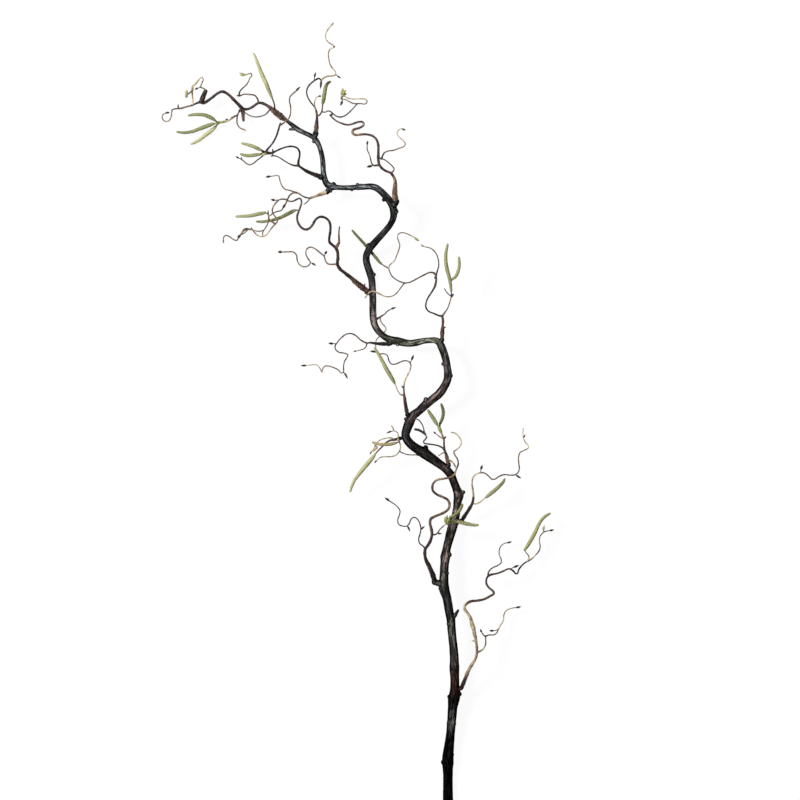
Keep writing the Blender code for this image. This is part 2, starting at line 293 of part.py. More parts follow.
SPRAYS.update({
    "spray_left_coil": {
        "runs": {
            "main": ((6.4, 7.2, 5.0, 4.0, 4.0, 3.8, 3.8, 3.2, 3.1, 3.0, 3.0, 3.0, 3.0, 2.8, 2.6, 2.3, 2.1, 2.0, 1.9), [
                (-100.6, 621.6, 7), (-105, 624.5), (-109.5, 628), (-115, 632.5, 12), (-121, 638), (-128, 643.6),
                (-135, 649.2), (-138.1, 655, 24), (-137.6, 663), (-138, 670), (-140.2, 675.3, 32),
                (-144, 678.7), (-148, 682.5), (-148.3, 688), (-147.1, 696, 38), (-147, 704), (-149.5, 710),
                (-155, 713.7), (-160.5, 714, 42), (-165.5, 710.5), (-169.3, 704), (-173.5, 699.6),
                (-178.5, 698.4, 40), (-183.5, 701), (-187.3, 707), (-188.6, 714, 38), (-186.6, 720.5),
                (-184.3, 727), (-183, 733, 38), (-184.8, 737.4), (-189, 736), (-194, 733.6),
                (-198.5, 733.8, 36), (-203, 736), (-208, 736.3), (-212, 735.2, 35)]),
            "sheath": ((2.8, 3.6, 2.2, 1.9, 1.7), [(-140.2, 675.3), (-138, 678.5), (-136.2, 682.5, 38), (-136.3, 689),
                                                   (-136.2, 696), (-135.4, 702.5, 46)]),
            "lower": ((2.1, 1.9, 1.8, 1.7, 1.6, 1.7, 1.8), [
                (-138.1, 655), (-144, 655), (-150, 655.6), (-153.2, 659.5, 17), (-154.8, 665), (-160, 669.5),
                (-166.5, 674.7), (-172.5, 676.6, 12), (-176.8, 673.8), (-177.8, 668.5), (-175.3, 662.5),
                (-172.2, 657.6, 8), (-174.5, 653.6), (-180, 652), (-185.5, 654.5), (-188.6, 660, 5),
                (-189.5, 666.5), (-193, 670.3), (-200, 670.8), (-207.5, 670.4, 8)]),
            "end_down": ((1.9, 1.8, 1.8), [(-212, 735.2), (-215.7, 731), (-218.8, 726), (-219.5, 720.5, 33),
                                           (-217, 715.8), (-214, 711.8, 32), (-213.3, 708.3), (-216, 705.3, 30)]),
            "end_left": ((1.8, 1.8), [(-216, 705.3), (-220, 708), (-224.2, 709.7, 31)]),
            "catkin_stalk": ((1.9, 1.8), [(-224.2, 709.7), (-224.1, 714), (-224.6, 717.4), (-227, 718.9, 32)]),
            "end_low": ((1.5, 1.4), [(-224.2, 709.7), (-226, 704), (-228.5, 700), (-231, 697, 22)]),
            "end_low_down": ((1.4, 1.3), [(-231, 697), (-231.8, 693.5), (-231.4, 690, 17)]),
            "end_low_left": ((1.4, 1.4), [(-231, 697), (-236.5, 696.3), (-241, 697), (-244.5, 698.3, 14)]),
            "lower_arc": ((1.8, 1.5, 1.6), [(-216, 705.3), (-219.5, 701.5), (-224, 695.7), (-228.3, 690.8, 18),
                                            (-234, 689.6), (-239.5, 692.3), (-244.5, 698.3, 14)]),
            "far_tip": ((1.8, 3.2, 1.6, 1.5, 1.5, 1.7), [
                (-244.5, 698.3), (-249, 699), (-253.5, 699, 12), (-257.3, 695.6), (-259.6, 691.6),
                (-262.3, 687.5, 8), (-264.5, 685), (-268.5, 686.2), (-273, 689.6), (-277.5, 691.2, 12),
                (-280.3, 689.5), (-280.9, 685.5), (-280.7, 681.5, 15)]),
            "far_second": ((1.4, 1.3), [(-250, 698.6), (-254.2, 694.6, 8), (-259, 691.4, 9.5)]),
            "low_catkin_stalk": ((1.8, 1.7), [(-186.2, 721.6), (-187.6, 722.3, 37), (-189.5, 722.4, 36)]),
        },
        "buds": [(-154.6, 665, -151, 672, 3.2, 3), (-172.2, 657.6, -164.8, 653.5, 2.6, 2),
                 (-207.5, 670.4, -213, 670.4, 3.6, 0), (-106, 626, -103.6, 632, 2.4, 0),
                 (-212, 735.2, -221.6, 735.8, 3.2, 4), (-224.5, 717, -224.4, 723, 1.8, 0),
                 (-259.6, 691.6, -263.4, 688.4, 3.8, 0), (-246, 698.5, -245.8, 702, 1.5, 0)],
    },
    "spray_short_left": {
        "runs": {
            "main": ((2.6, 1.8, 1.5), [(-87.4, 587.8, 7), (-84, 589.8), (-79.5, 592.7), (-75.5, 596.6),
                                       (-71.5, 599, 16)]),
            "under_stem": ((1.5, 1.4, 1.3), [
                (-84.8, 589.3), (-84.6, 585.5, 6), (-82.3, 581), (-79, 577.5, 3), (-77.6, 574), (-79.5, 570.3, 1.5),
                (-83, 567.3, 1.3), (-86.5, 564.2, 1.6), (-89.4, 561, 3), (-90.4, 557), (-90.4, 551.5, 7),
                (-89, 546.5, 9)]),
        },
        "buds": [(-71.5, 599, -64.8, 601.2, 2.8, 0)],
    },
    "spray_upper_right": {
        "runs": {
            "main": ((6.6, 6.8, 4.6, 3.4, 3.0, 3.2, 3.6, 3.4, 3.1, 2.8, 2.8, 3.0, 3.2, 3.0, 2.7, 2.6, 2.4, 2.2, 2.0, 1.8), [
                (-65.3, 734.8, 46.5), (-66.2, 740), (-66.6, 746), (-66, 753), (-66.1, 759, 52), (-68.2, 764.5),
                (-71.5, 768.6, 54), (-77, 770.9), (-82.3, 774.4), (-86, 779.5), (-87, 786, 56), (-87, 795),
                (-87.2, 804), (-89.6, 810.7, 54), (-94.5, 815), (-101, 816.8), (-108, 817), (-115, 816.2),
                (-119.8, 818.4), (-119.8, 822, 48), (-115.6, 823.8), (-110.5, 825.2), (-105.5, 828.6), (-106.2, 832.3, 44),
                (-112, 832.6), (-118.5, 830.4), (-125, 829), (-132, 830.6, 40), (-139, 833.6),
                (-144.5, 838), (-148.3, 842.2, 36)]),
            "loop": ((1.7, 1.5, 1.6), [(-71.5, 768.6), (-68.6, 770.7), (-67.4, 773.7, 60), (-69.8, 777.5),
                                       (-74.5, 781.7), (-79.5, 785.2), (-83, 786.4, 60), (-86.8, 787.2, 56.5)]),
            "right_up": ((1.9, 1.6, 1.5, 1.4), [
                (-83, 786.4), (-81.8, 790), (-79.3, 794), (-74.5, 796), (-68, 796.9, 66), (-61.5, 799.2),
                (-55.8, 801.3), (-53.4, 804.4, 70), (-55.6, 808.5), (-60, 812.4), (-63.4, 816.5),
                (-62.8, 820.8, 66), (-59.5, 823.6), (-57.5, 823.8)]),
            "left": ((2.3, 2.1), [(-85.8, 779), (-90, 778), (-93.5, 778, 58)]),
            "left_up": ((1.6, 1.5, 1.4), [(-93.5, 778), (-95.6, 781.5), (-96.9, 787, 62), (-98.3, 792),
                                          (-100.8, 797.5), (-100.9, 803.5, 66)]),
        },
        "buds": [(-57.5, 823.8, -52.6, 821.8, 2.6, 0), (-81.5, 786, -85.8, 787, 3.2, 0),
                 (-93.5, 778, -102, 776, 3.4, 1), (-100.9, 803.5, -99.8, 809, 2.6, 0),
                 (-146.5, 840, -143.6, 844, 3, 0)],
    },
    "spray_tan_left": {
        "runs": {
            "main": ((5.6, 4.8, 3.6, 3.0, 2.8), [(-152.4, 745.2, 25.5), (-157.5, 743), (-164, 740.6), (-169, 738.8),
                                                 (-172.5, 737.4, 32)]),
            "upper": ((1.8, 1.9, 1.7, 1.5, 1.4), [
                (-172.5, 737.4), (-177, 738.2), (-181.5, 740), (-186, 743, 44), (-191, 745), (-198, 747.2),
                (-203.6, 748.6, 47), (-207.2, 752.5), (-209.8, 759), (-211.4, 765, 44), (-214.3, 765.7),
                (-221.5, 764.6, 40)]),
            "second": ((1.9, 2.0, 1.9, 1.5, 1.6, 1.3), [
                (-189, 744.3), (-193, 744), (-197.2, 741.5), (-200, 737, 46), (-202.3, 731.5), (-205.3, 726),
                (-208.7, 722, 42), (-214, 720.6), (-219, 718.3, 40), (-222.8, 714.8, 40)]),
            "lower": ((1.5, 1.3), [(-172.5, 737.4), (-176.5, 732.4), (-180.5, 729.6, 30)]),
        },
        "buds": [(-221.5, 764.6, -228.2, 763.2, 3, 0), (-203.2, 730, -207, 723.6, 3.2, 0)],
    },
    "spray_upper_left": {
        "runs": {
            "main": ((5.8, 5.0, 4.6, 4.0, 3.2, 2.8), [
                (-160.8, 764.8, 30), (-166, 766.8), (-172, 769), (-178, 772), (-183.5, 775.7), (-187, 778.2, 40)]),
            "up": ((2.7, 2.4, 2.4, 2.3, 2.2, 2.1, 2.2, 3.0, 4.4), [
                (-187, 778.2), (-186.8, 783.5), (-185.5, 789), (-185.3, 794.5), (-188, 799.6), (-193.5, 801.8),
                (-201, 801.4, 52), (-208, 799.2), (-215, 796), (-220, 793.6), (-225, 793.7), (-229.5, 793.9, 50)]),
            "left": ((2.4, 1.6, 1.5, 1.8), [(-187, 778.2), (-191.5, 778.1), (-197, 779.9), (-204, 783.8), (-211, 788.3),
                                            (-216.5, 790.3), (-221.5, 789.9, 44)]),
            "cross_link": ((1.6, 1.5), [(-218.6, 794.2), (-219.4, 790.3, 44.5)]),
            "to_leader": ((2.6, 2.1, 2.3, 2.5, 2.2), [
                (-228, 794), (-225.2, 798.6), (-221.7, 802.6), (-217.8, 808, 46), (-214.6, 814.5), (-212.4, 821),
                (-210.6, 827.3, 36), (-209.3, 832, 33)]),
            "top_twig": ((1.8, 1.6, 1.6, 1.6, 2.0), [
                (-210.3, 828.5), (-206, 831, 34), (-202.5, 833.8), (-199, 837.2, 34), (-196.8, 843), (-196.6, 851, 42),
                (-198, 859), (-197.2, 864), (-193, 868.4, 50), (-190, 870.7)]),
            "stalk_up": ((3.0, 2.4), [(-229, 794), (-230.6, 795.4), (-232.2, 796.5, 54)]),
            "stalk_low": ((3.0, 2.4), [(-229, 794), (-231, 793.2), (-233.2, 792.6, 46.5)]),
            "low_tip": ((1.9, 1.7, 1.6), [(-229, 793.4), (-232, 789.8, 43), (-238, 785.2), (-243.5, 780.8, 36),
                                          (-248, 779.2), (-252.5, 781.3), (-257, 785.3), (-261, 787.7, 32)]),
        },
        "buds": [(-218.4, 794.3, -219.3, 799.6, 2.2, 0), (-190, 870.7, -184, 876.6, 2.8, 0),
                 (-261, 787.7, -265.4, 790, 2.4, 0), (-258.2, 786.2, -257.6, 789.6, 1.5, 0),
                 (-226, 793.8, -233, 790.6, 4.4, 0)],
    },
    "spray_top": {
        "runs": {
            "main": ((5.8, 5.6, 4.6, 3.2, 2.4), [(-165.2, 819.6, 32), (-164.6, 825), (-164.1, 831), (-163.7, 837),
                                                 (-163.9, 842.5, 42)]),
            "left_arc": ((2.3, 1.8, 1.7, 1.9, 2.1, 2.1), [
                (-163.9, 842.5), (-164.8, 847), (-167.3, 851.8), (-171.8, 857.6, 50), (-175.3, 863.8), (-176.5, 870, 56),
                (-174.8, 876), (-170.5, 881), (-165, 885, 60), (-161, 886.6), (-158.5, 884.4, 58)]),
            "highest": ((2.1, 2.2, 1.7, 1.6, 1.5, 1.6, 1.4, 1.5, 1.4), [
                (-158.5, 884.4), (-155.4, 887.4), (-151, 889.3), (-145.5, 890.1, 52), (-141, 891.2), (-140.6, 894.6, 50),
                (-144, 899.2), (-147.2, 904), (-148.8, 911, 54), (-149.3, 918), (-147.5, 923), (-142.6, 925.6, 60),
                (-143.5, 928), (-148.5, 931), (-152.4, 935.5), (-152.9, 941, 64), (-150.3, 947), (-146.8, 951.8, 62)]),
            "right": ((1.9, 1.6, 1.6, 1.9, 1.8, 1.5, 1.5, 1.5, 1.4, 1.4, 1.7), [
                (-163.8, 839.5), (-160.3, 841.3), (-157.7, 844.7, 46), (-153, 844.8), (-149.7, 846.3, 48), (-146, 845),
                (-142.7, 842), (-138.5, 839.3, 50), (-133, 838.7), (-127.5, 841), (-121.5, 846.2, 54), (-116, 852),
                (-113, 855), (-109, 855.3), (-104.6, 854.7, 56), (-101.5, 856.2), (-101.5, 859.4), (-104.6, 861), (-112, 861.3),
                (-120, 861.2, 52), (-126, 862.6), (-129, 864.4, 50)]),
            "right_second": ((1.5, 1.4), [(-113, 855), (-118, 855.4), (-123, 857.8), (-128, 860.3), (-131.6, 861.2, 47)]),
            "catkin_stalk": ((1.7, 1.6), [(-157.7, 844.7), (-157.1, 849), (-156.6, 854, 44)]),
            "small_loop": ((1.6, 1.5), [(-165.4, 848.4), (-166.4, 852.5), (-166.6, 858, 54), (-164.3, 862.8),
                                        (-161.6, 864.6, 56)]),
        },
        "buds": [(-158.5, 884.6, -159.5, 873, 3, 0), (-166.6, 884, -164.8, 894.6, 2.6, 4),
                 (-142.8, 925.4, -141, 927, 2.6, 0), (-140.6, 892.4, -133.6, 887, 2.2, 3),
                 (-146.8, 951.8, -142.6, 956.6, 2.6, 0), (-161.6, 864.6, -158, 864.4, 2.6, 0),
                 (-131.6, 861, -134.6, 852.6, 3.2, 2), (-131.6, 861.2, -134.4, 861.8, 1.8, 0)],
    },
    "leader_spray": {
        "runs": {
            "main": ((4.6, 7.2, 7.8, 5.2, 3.8, 3.4, 3.2, 3.0, 3.6, 4.4, 3.9, 3.6, 3.5, 3.4, 3.3, 3.3, 4.0, 3.6, 2.3,
                      2.3, 2.2, 1.9, 1.7), [
                (-203, 835.5, 21.8), (-206, 837.6), (-210, 840.4), (-214.5, 844), (-218.5, 847.7),
                (-222.3, 850.8, 24), (-227, 854), (-232, 856.4), (-237, 856.6), (-242, 853.5), (-247, 850.3),
                (-252, 848.9, 19), (-257, 850), (-262, 854.8), (-267.5, 860.5), (-273, 866), (-278.5, 869.8),
                (-283, 870.8, 24), (-288.5, 868.3), (-294.5, 863.7), (-300.5, 859.3), (-305.5, 856.8),
                (-310.5, 857.5, 22), (-315, 856), (-320, 853.8), (-327, 852), (-334, 850), (-340, 849.6),
                (-345, 848.6, 16)]),
            "blunt_end": ((4.6, 5.0, 5.4, 4.4), [(-308, 857.2), (-306.5, 863), (-303.8, 869.5), (-301.6, 873.5, 28)]),
            "ring": ((1.6, 1.5), [(-345, 848.6), (-345.6, 844), (-346.3, 839), (-349, 834.8), (-353.5, 833.8, 11),
                                  (-357, 837), (-357.4, 841), (-354.5, 843.9, 9)]),
            "top_thin": ((1.6, 1.5), [(-302.6, 872.6), (-306, 874.9), (-309.6, 876, 32)]),
            "top_loop": ((1.5, 1.5, 1.6, 2.4, 2.8, 1.6), [
                (-309.6, 876), (-307.9, 880.4), (-306, 884.9, 36), (-306.4, 888), (-309.2, 888), (-312, 884.6),
                (-315.5, 880.5, 34),
                (-319, 877.5), (-319.3, 873), (-321, 870.7), (-324, 868.3, 28)]),
            "pale_link": ((2.0, 1.9), [(-319.4, 872), (-319.6, 866, 26), (-319, 860), (-319, 854.2)]),
            "lower_loop": ((1.7, 1.5, 1.5), [(-221.2, 850), (-224.3, 846.2, 27), (-228, 842.3), (-234, 839.9, 28),
                                             (-241, 839.2), (-248, 841, 22), (-255, 845.6, 18)]),
            "upper_loop": ((2.0, 1.9, 1.8, 1.7), [(-237.2, 856.7), (-238.2, 862, 28), (-241.5, 866), (-248, 867, 34),
                                                  (-255, 867.3), (-260.5, 865.2, 36), (-264.5, 866, 37)]),
            "upper_loop_twig": ((1.9, 1.7, 1.5, 1.4), [(-261, 865.4), (-260.3, 870), (-256.8, 874.6), (-252, 878.6, 44),
                                                       (-249.2, 883), (-247.6, 887), (-245, 890.6, 48),
                                                       (-246.3, 893.3), (-250, 892.3)]),
            "hanging_sheath": ((3.0, 4.4, 4.2, 2.6), [(-256.5, 849.4), (-256.3, 844, 16), (-256, 838), (-255.6, 833.4, 12)]),
            "left_low": ((1.9, 1.8, 2.8, 3.0, 2.6), [
                (-257.6, 848.6), (-261.3, 845.4), (-263.4, 841.9, 15), (-267, 840), (-271.5, 837.3), (-276, 834.5, 13),
                (-282, 833), (-287, 832, 12)]),
            "stalk_a": ((2.2, 1.9), [(-286.6, 832.1), (-288.6, 833), (-290.6, 834.4, 17)]),
            "stalk_b": ((2.2, 1.9), [(-287, 832), (-289, 831.6), (-291.2, 831.1, 11.5)]),
            "stalk_c": ((2.2, 1.9), [(-286.6, 832), (-288.2, 830.4), (-289.8, 828.4, 6.5)]),
            "down_twig": ((1.8, 1.6, 2.0), [(-263.3, 841.6), (-264, 835.5), (-263, 829.5), (-259.5, 825.3, 7),
                                            (-255.5, 823.7), (-252.5, 821.8, 6)]),
            "catkin_stalk": ((2.2, 1.7), [(-217.5, 847), (-216.6, 852, 30), (-217.6, 857), (-219.4, 861.6, 34)]),
        },
        "buds": [(-354.5, 843.9, -347.6, 844.8, 2.8, 1), (-336.8, 849.7, -337.4, 856, 2, 0),
                 (-309.6, 876, -316.4, 873, 2.8, 3),
                 (-257.5, 848, -262.4, 846.4, 4.2, 0), (-274, 835.6, -279, 837, 2.2, 0),
                 (-211, 841, -206.5, 843.4, 5, 0)],
    },
})

# Catkins and leaf buds: spray and run that carry them, diameters, and route beyond the stalk
CATKINS = {
    "catkin_top": ("leader_spray", "catkin_stalk", (3.0, 4.6, 5.2, 5.2, 4.4, 3.6, 2.4), [
        (-220.9, 865), (-223.3, 871), (-227, 880, 44), (-231.3, 889.5), (-235, 898.5), (-238.5, 908, 46),
        (-243, 919, 42)]),
    "catkin_far_left_upper": ("leader_spray", "stalk_a", (3.0, 4.8, 5.0, 4.4, 4.0, 3.6, 2.8), [
        (-293.8, 836.8), (-298, 839.2, 19), (-304, 841.5), (-311, 842.3, 20), (-318, 842), (-325.4, 841, 17)]),
    "catkin_far_left_middle": ("leader_spray", "stalk_b", (3.2, 5.0, 5.2, 4.6, 4.2, 3.8, 3.4, 2.6), [
        (-295.5, 830.2), (-303, 827.5, 9), (-311, 824.5), (-319, 821.5, 8), (-327, 820), (-334, 820), (-340, 821, 10)]),
    "catkin_far_left_lower": ("leader_spray", "stalk_c", (3.0, 4.6, 4.6, 4.2, 3.8, 2.8), [
        (-293.2, 824.8, 4.5), (-298.5, 820.4, 4), (-305, 815.5), (-311, 811), (-317, 807.5), (-322.4, 805.3, 5)]),
    "catkin_left_upper": ("spray_upper_left", "stalk_up", (3.0, 4.6, 4.4, 3.6, 2.6), [
        (-236, 798.4), (-241, 800.8, 57), (-247, 803), (-253, 804.8), (-258.7, 806, 54)]),
    "catkin_left_lower": ("spray_upper_left", "stalk_low", (3.0, 4.6, 4.4, 4.0, 2.8), [
        (-237.5, 791.9), (-242.5, 791.1, 42), (-248, 790.6), (-254, 791, 38), (-260, 793, 37)]),
    "catkin_beside_top": ("spray_top", "catkin_stalk", (3.2, 5.0, 5.2, 4.8, 4.0, 3.0), [
        (-156.1, 857), (-155.2, 862, 43), (-154.3, 868), (-153, 875, 44), (-150.6, 880.5), (-146, 883.6, 42)]),
    "catkin_coil_upper": ("spray_left_coil", "catkin_stalk", (3.2, 4.8, 4.8, 4.4, 3.8, 3.4, 2.8), [
        (-230.5, 719, 32), (-236, 718), (-242, 716.6, 33), (-249, 715.3), (-257, 715, 32), (-266, 714.6, 30)]),
    "catkin_coil_lower": ("spray_left_coil", "low_catkin_stalk", (3.2, 4.8, 4.8, 4.4, 4.0, 3.6, 3.4, 2.8), [
        (-193, 721.6, 33), (-197, 719.6), (-203, 716.6, 27), (-209.5, 713.4), (-216.5, 711, 22.5), (-224, 709.4, 22),
        (-232, 708.2), (-240.3, 708.6, 21)]),
    "catkin_behind_stem": ("spray_right_loops", "catkin_stalk", (2.6, 3.6, 4.0, 4.0, 3.8, 3.6, 3.2, 2.6), [
        (-85.3, 657.4, 23), (-89, 662), (-93.6, 667.6, 12), (-97.8, 672.6, 7), (-103.5, 679.3, 6), (-110, 686.6),
        (-115.5, 692.6), (-120.4, 698.4, 7)]),
    "catkin_pair_right": ("spray_right_loops", "pair_stalk", (3.0, 3.8, 4.2, 4.8, 4.8, 4.6, 4.2, 3.6, 2.6), [
        (3.6, 625), (2.9, 630), (2, 636, 54), (0.4, 642), (-1.4, 649), (-2.6, 656, 58), (-3, 663), (-2.5, 670),
        (-1.3, 676), (-0.2, 681, 54)]),
    "catkin_mid_left": ("spray_mid_left", "catkin_stalk", (3.2, 4.8, 5.4, 5.2, 4.6, 4.2, 3.6, 2.6), [
        (-67.9, 508.6), (-70.4, 513, 40), (-74, 519), (-78, 526, 41), (-81, 532), (-84.5, 538.5, 38), (-88, 544.5),
        (-92.6, 551.2, 34)]),
    "catkin_middle_upper": ("spray_middle", "bract", (3.4, 4.6, 4.8, 4.2, 3.2), [
        (-15, 457), (-17.4, 460.8, 40), (-20.3, 465.4), (-23.4, 470), (-25.4, 473.6, 38)]),
    "catkin_middle_lower": ("spray_middle", "bract_low", (2.8, 4.0, 4.2, 4.0, 2.8), [
        (-9.4, 457), (-7.6, 461, 33), (-6.2, 466), (-6, 471, 34), (-7, 476), (-9, 481.5, 38)]),
    "catkin_left_cluster": ("spray_left_cluster", "catkin_stalk", (3.0, 4.2, 4.0, 3.8, 3.6, 2.8), [
        (-67.4, 431.3, 44), (-74, 429.9), (-81, 429.9, 46), (-88, 430.6), (-95.4, 433, 44)]),
    "catkin_left_drooping": ("spray_left_cluster", "main", (3.2, 5.2, 5.8, 5.4, 4.6, 4.0, 3.6, 2.6), [
        (-92.2, 416.4), (-96, 411.3, 38), (-101, 405.5), (-106, 399.5, 35), (-111.3, 392.8), (-116.2, 386, 28),
        (-120, 378), (-122.6, 370, 22)]),
    "catkin_mid_right": ("spray_mid_right", "catkin_stalk", (3.2, 4.8, 5.0, 4.6, 4.0, 2.6), [
        (49.5, 365.4), (54, 369, 29), (60, 374), (65, 378.5, 27), (69, 383), (71.3, 388, 24)]),
    "catkin_low_right": ("spray_low_right", "catkin_stalk", (3.0, 4.4, 5.0, 5.0, 4.4, 4.0, 3.8, 2.8), [
        (98, 301), (100.8, 305.4, 26), (104, 311), (107.3, 317, 28), (110.3, 323), (113, 329, 26), (116.2, 334.4),
        (121.6, 340), (128.5, 344.2, 20)]),
    "catkin_front_upper": ("spray_low_left", "front_stalk_up", (2.6, 3.8, 4.2, 4.0, 3.2), [
        (5, 340.2), (9, 342.6, 45), (13, 345.8), (16, 350.4, 44), (18.2, 356, 40)]),
    "catkin_front_lower": ("spray_low_left", "front_stalk_right", (3.0, 5.0, 5.0, 4.0, 2.8), [
        (9.5, 334, 34), (14, 333.2), (20, 331.6, 31), (28, 329.8), (34, 329), (38.8, 329.4, 25)]),
}

# Side arms of a catkin: diameters and route
CATKIN_ARMS = {
    "catkin_pair_right": ((2.2, 3.8, 4.2, 4.0, 3.6, 2.8), [
        (2.4, 633.4, 53.8), (5.5, 636.3, 53), (9, 639), (12, 644.5, 51), (13.7, 651), (14, 658, 50), (13.5, 664.8, 50)]),
    "catkin_left_cluster": ((2.6, 2.4, 2.2, 1.8), [
        (-89.4, 431, 45.2), (-91, 428.2, 44), (-88.6, 426.2), (-91.4, 423.4, 43), (-94.6, 420.6, 42.5)]),
}

# Small open leaf buds: spray and run that carry them, then tips and widths of the scales
LEAF_BUDS = {
    "leaf_bud_top": ("spray_top", "right", [
        (-133.6, 871.2, 50, 3.8), (-131, 875, 53, 3.8), (-127.2, 872.6, 55, 3.8), (-126.2, 867.8, 50, 3.4)]),
    "leaf_bud_far_left": ("leader_spray", "top_loop", [
        (-326.2, 873.4, 30, 3.8), (-328.6, 863.4, 27, 4.4)]),
    "leaf_bud_pale": ("leader_spray", "upper_loop_twig", [
        (-261, 894.2, 49, 3.2), (-260, 890.6, 48, 2.8)]),
}

# Surface colours (linear red, green, blue) and roughness
STEM_COLOUR = (0.045, 0.032, 0.026)
TWIG_COLOUR = (0.075, 0.045, 0.032)
TAN_TWIG_COLOUR = (0.30, 0.20, 0.08)
BUD_COLOUR = (0.42, 0.42, 0.12)
CATKIN_COLOURS = {
    "catkin_front_upper": (0.34, 0.33, 0.12), "catkin_front_lower": (0.30, 0.33, 0.10),
    "catkin_low_right": (0.36, 0.30, 0.10), "catkin_middle_lower": (0.20, 0.24, 0.06),
    "catkin_left_cluster": (0.42, 0.27, 0.09), "catkin_mid_left": (0.48, 0.46, 0.14),
}
CATKIN_COLOUR = (0.40, 0.42, 0.12)
WOOD_ROUGHNESS = 0.6
SOFT_ROUGHNESS = 0.8


def unit(vector):
    return vector / max(np.linalg.norm(vector), TINY)


def fill_heights(points):
    """Give each point of a route its height, evenly between the stated ones."""
    flat = np.array([point[:2] for point in points], float)
    along = np.concatenate(([0.0], np.cumsum(np.linalg.norm(np.diff(flat, axis=0), axis=1))))
    known = [(place, point[2]) for place, point in zip(along, points) if len(point) == 3]
    heights = np.interp(along, [place for place, _ in known], [height for _, height in known])
    return np.column_stack((flat, heights))


def smooth_curve(points):
    """Samples of a smooth curve through the points, and the place of each between them."""
    framed = np.vstack((2 * points[0] - points[1], points, 2 * points[-1] - points[-2]))
    samples = []
    places = []
    for index in range(len(points) - 1):
        p0, p1, p2, p3 = framed[index:index + 4]
        t1 = np.linalg.norm(p1 - p0) ** 0.5
        t2 = t1 + np.linalg.norm(p2 - p1) ** 0.5
        t3 = t2 + np.linalg.norm(p3 - p2) ** 0.5
        count = max(2, math.ceil(np.linalg.norm(p2 - p1) / CURVE_STEP))
        share = np.arange(count)[:, None] / count
        t = t1 + (t2 - t1) * share
        a1 = p0 + (p1 - p0) * t / t1
        a2 = p1 + (p2 - p1) * (t - t1) / (t2 - t1)
        a3 = p2 + (p3 - p2) * (t - t2) / (t3 - t2)
        b1 = a1 + (a2 - a1) * t / t2
        b2 = a2 + (a3 - a2) * (t - t1) / (t3 - t1)
        samples.append(b1 + (b2 - b1) * (t - t1) / (t2 - t1))
        places.append(index + share[:, 0])
    samples.append(points[-1:])
    places.append(np.array([len(points) - 1.0]))
    return np.vstack(samples), np.concatenate(places)


def ease_bends(points, radii):
    """Open each bend that is tighter than the tube is thick."""
    points = points.copy()
    for _ in range(EASING_ROUNDS):
        steps = np.diff(points, axis=0)
        lengths = np.maximum(np.linalg.norm(steps, axis=1), TINY)
        ways = steps / lengths[:, None]
        turns = np.arccos(np.clip((ways[1:] * ways[:-1]).sum(axis=1), -1, 1))
        mean_steps = (lengths[1:] + lengths[:-1]) / 2
        tight = turns * radii[1:-1] * BEND_MARGIN > mean_steps
        if not tight.any():
            break
        marked = np.convolve(tight, np.ones(EASED_SAMPLES), "same")[:len(tight)] > 0
        middle = (points[2:] + points[:-2]) / 2
        points[1:-1][marked] = ((points[1:-1] + middle) / 2)[marked]
    return points


def chord_fits(points, radii, start, end):
    """Whether one straight stretch may stand for the samples from start to end."""
    chord = points[end] - points[start]
    length = np.linalg.norm(chord)
    if length > LONGEST_RING_STEP:
        return False
    turn = unit(points[start + 1] - points[start]).dot(unit(points[end] - points[end - 1]))
    if turn < TURN_LIMIT:
        return False
    inner = points[start + 1:end] - points[start]
    share = np.clip(inner @ chord / max(length * length, TINY), 0, 1)
    sag = np.linalg.norm(inner - share[:, None] * chord, axis=1).max()
    expected = radii[start] + share * (radii[end] - radii[start])
    return sag < SAG_TOLERANCE and np.abs(radii[start + 1:end] - expected).max() < RADIUS_TOLERANCE


def choose_rings(points, radii):
    """Samples that keep a ring: the fewest that hold the route's form."""
    kept = [0]
    last = len(points) - 1
    while kept[-1] < last:
        reach = kept[-1] + 1
        while reach < last and chord_fits(points, radii, kept[-1], reach + 1):
            reach += 1
        kept.append(reach)
    return kept


def cuts_in(centres, radii, first_way, last_way):
    """Index of the first ring that cuts into the next one, or None."""
    ways = ring_ways(centres, first_way, last_way)
    for index, step in enumerate(np.diff(centres, axis=0)):
        lean = np.linalg.norm(np.cross(ways[index], ways[index + 1]))
        room = min(step.dot(ways[index]), step.dot(ways[index + 1]))
        if room < lean * max(radii[index], radii[index + 1]) + LEAST_RING_STEP:
            return index
    return None


def crossing_free(kept, points, radii, first_way=None, last_way=None):
    """Drop single rings that would cut into the next one at a sharp bend."""
    while True:
        worst = cuts_in(points[kept], radii[kept], first_way, last_way)
        if worst is None:
            return kept
        for dropped in (worst + 1, worst):
            fewer = kept[:dropped] + kept[dropped + 1:]
            inner = 0 < dropped < len(kept) - 1
            after = cuts_in(points[fewer], radii[fewer], first_way, last_way) if inner else worst
            if after is None or after > worst:
                kept = fewer
                break
        else:
            return kept


def ring_ways(centres, first_way=None, last_way=None):
    """The direction of the route at each ring."""
    ways = np.array([unit(way) for way in np.gradient(centres, axis=0)])
    if first_way is not None:
        ways[0] = first_way
    if last_way is not None:
        ways[-1] = last_way
    return ways


def side_count(radius):
    """Sides of a tube: more on a thicker one."""
    for least, sides in SIDES_BY_RADIUS:
        if radius > least:
            return sides
    return FEWEST_SIDES


def ring_frames(points, first_way=None, last_way=None):
    """Two cross directions at each ring, carried along the route without twist."""
    ways = ring_ways(points, first_way, last_way)
    side = unit(np.cross(ways[0], NEAR_UPRIGHT))
    frames = []
    for way in ways:
        side = unit(side - way * side.dot(way))
        frames.append((side, np.cross(way, side)))
    return frames


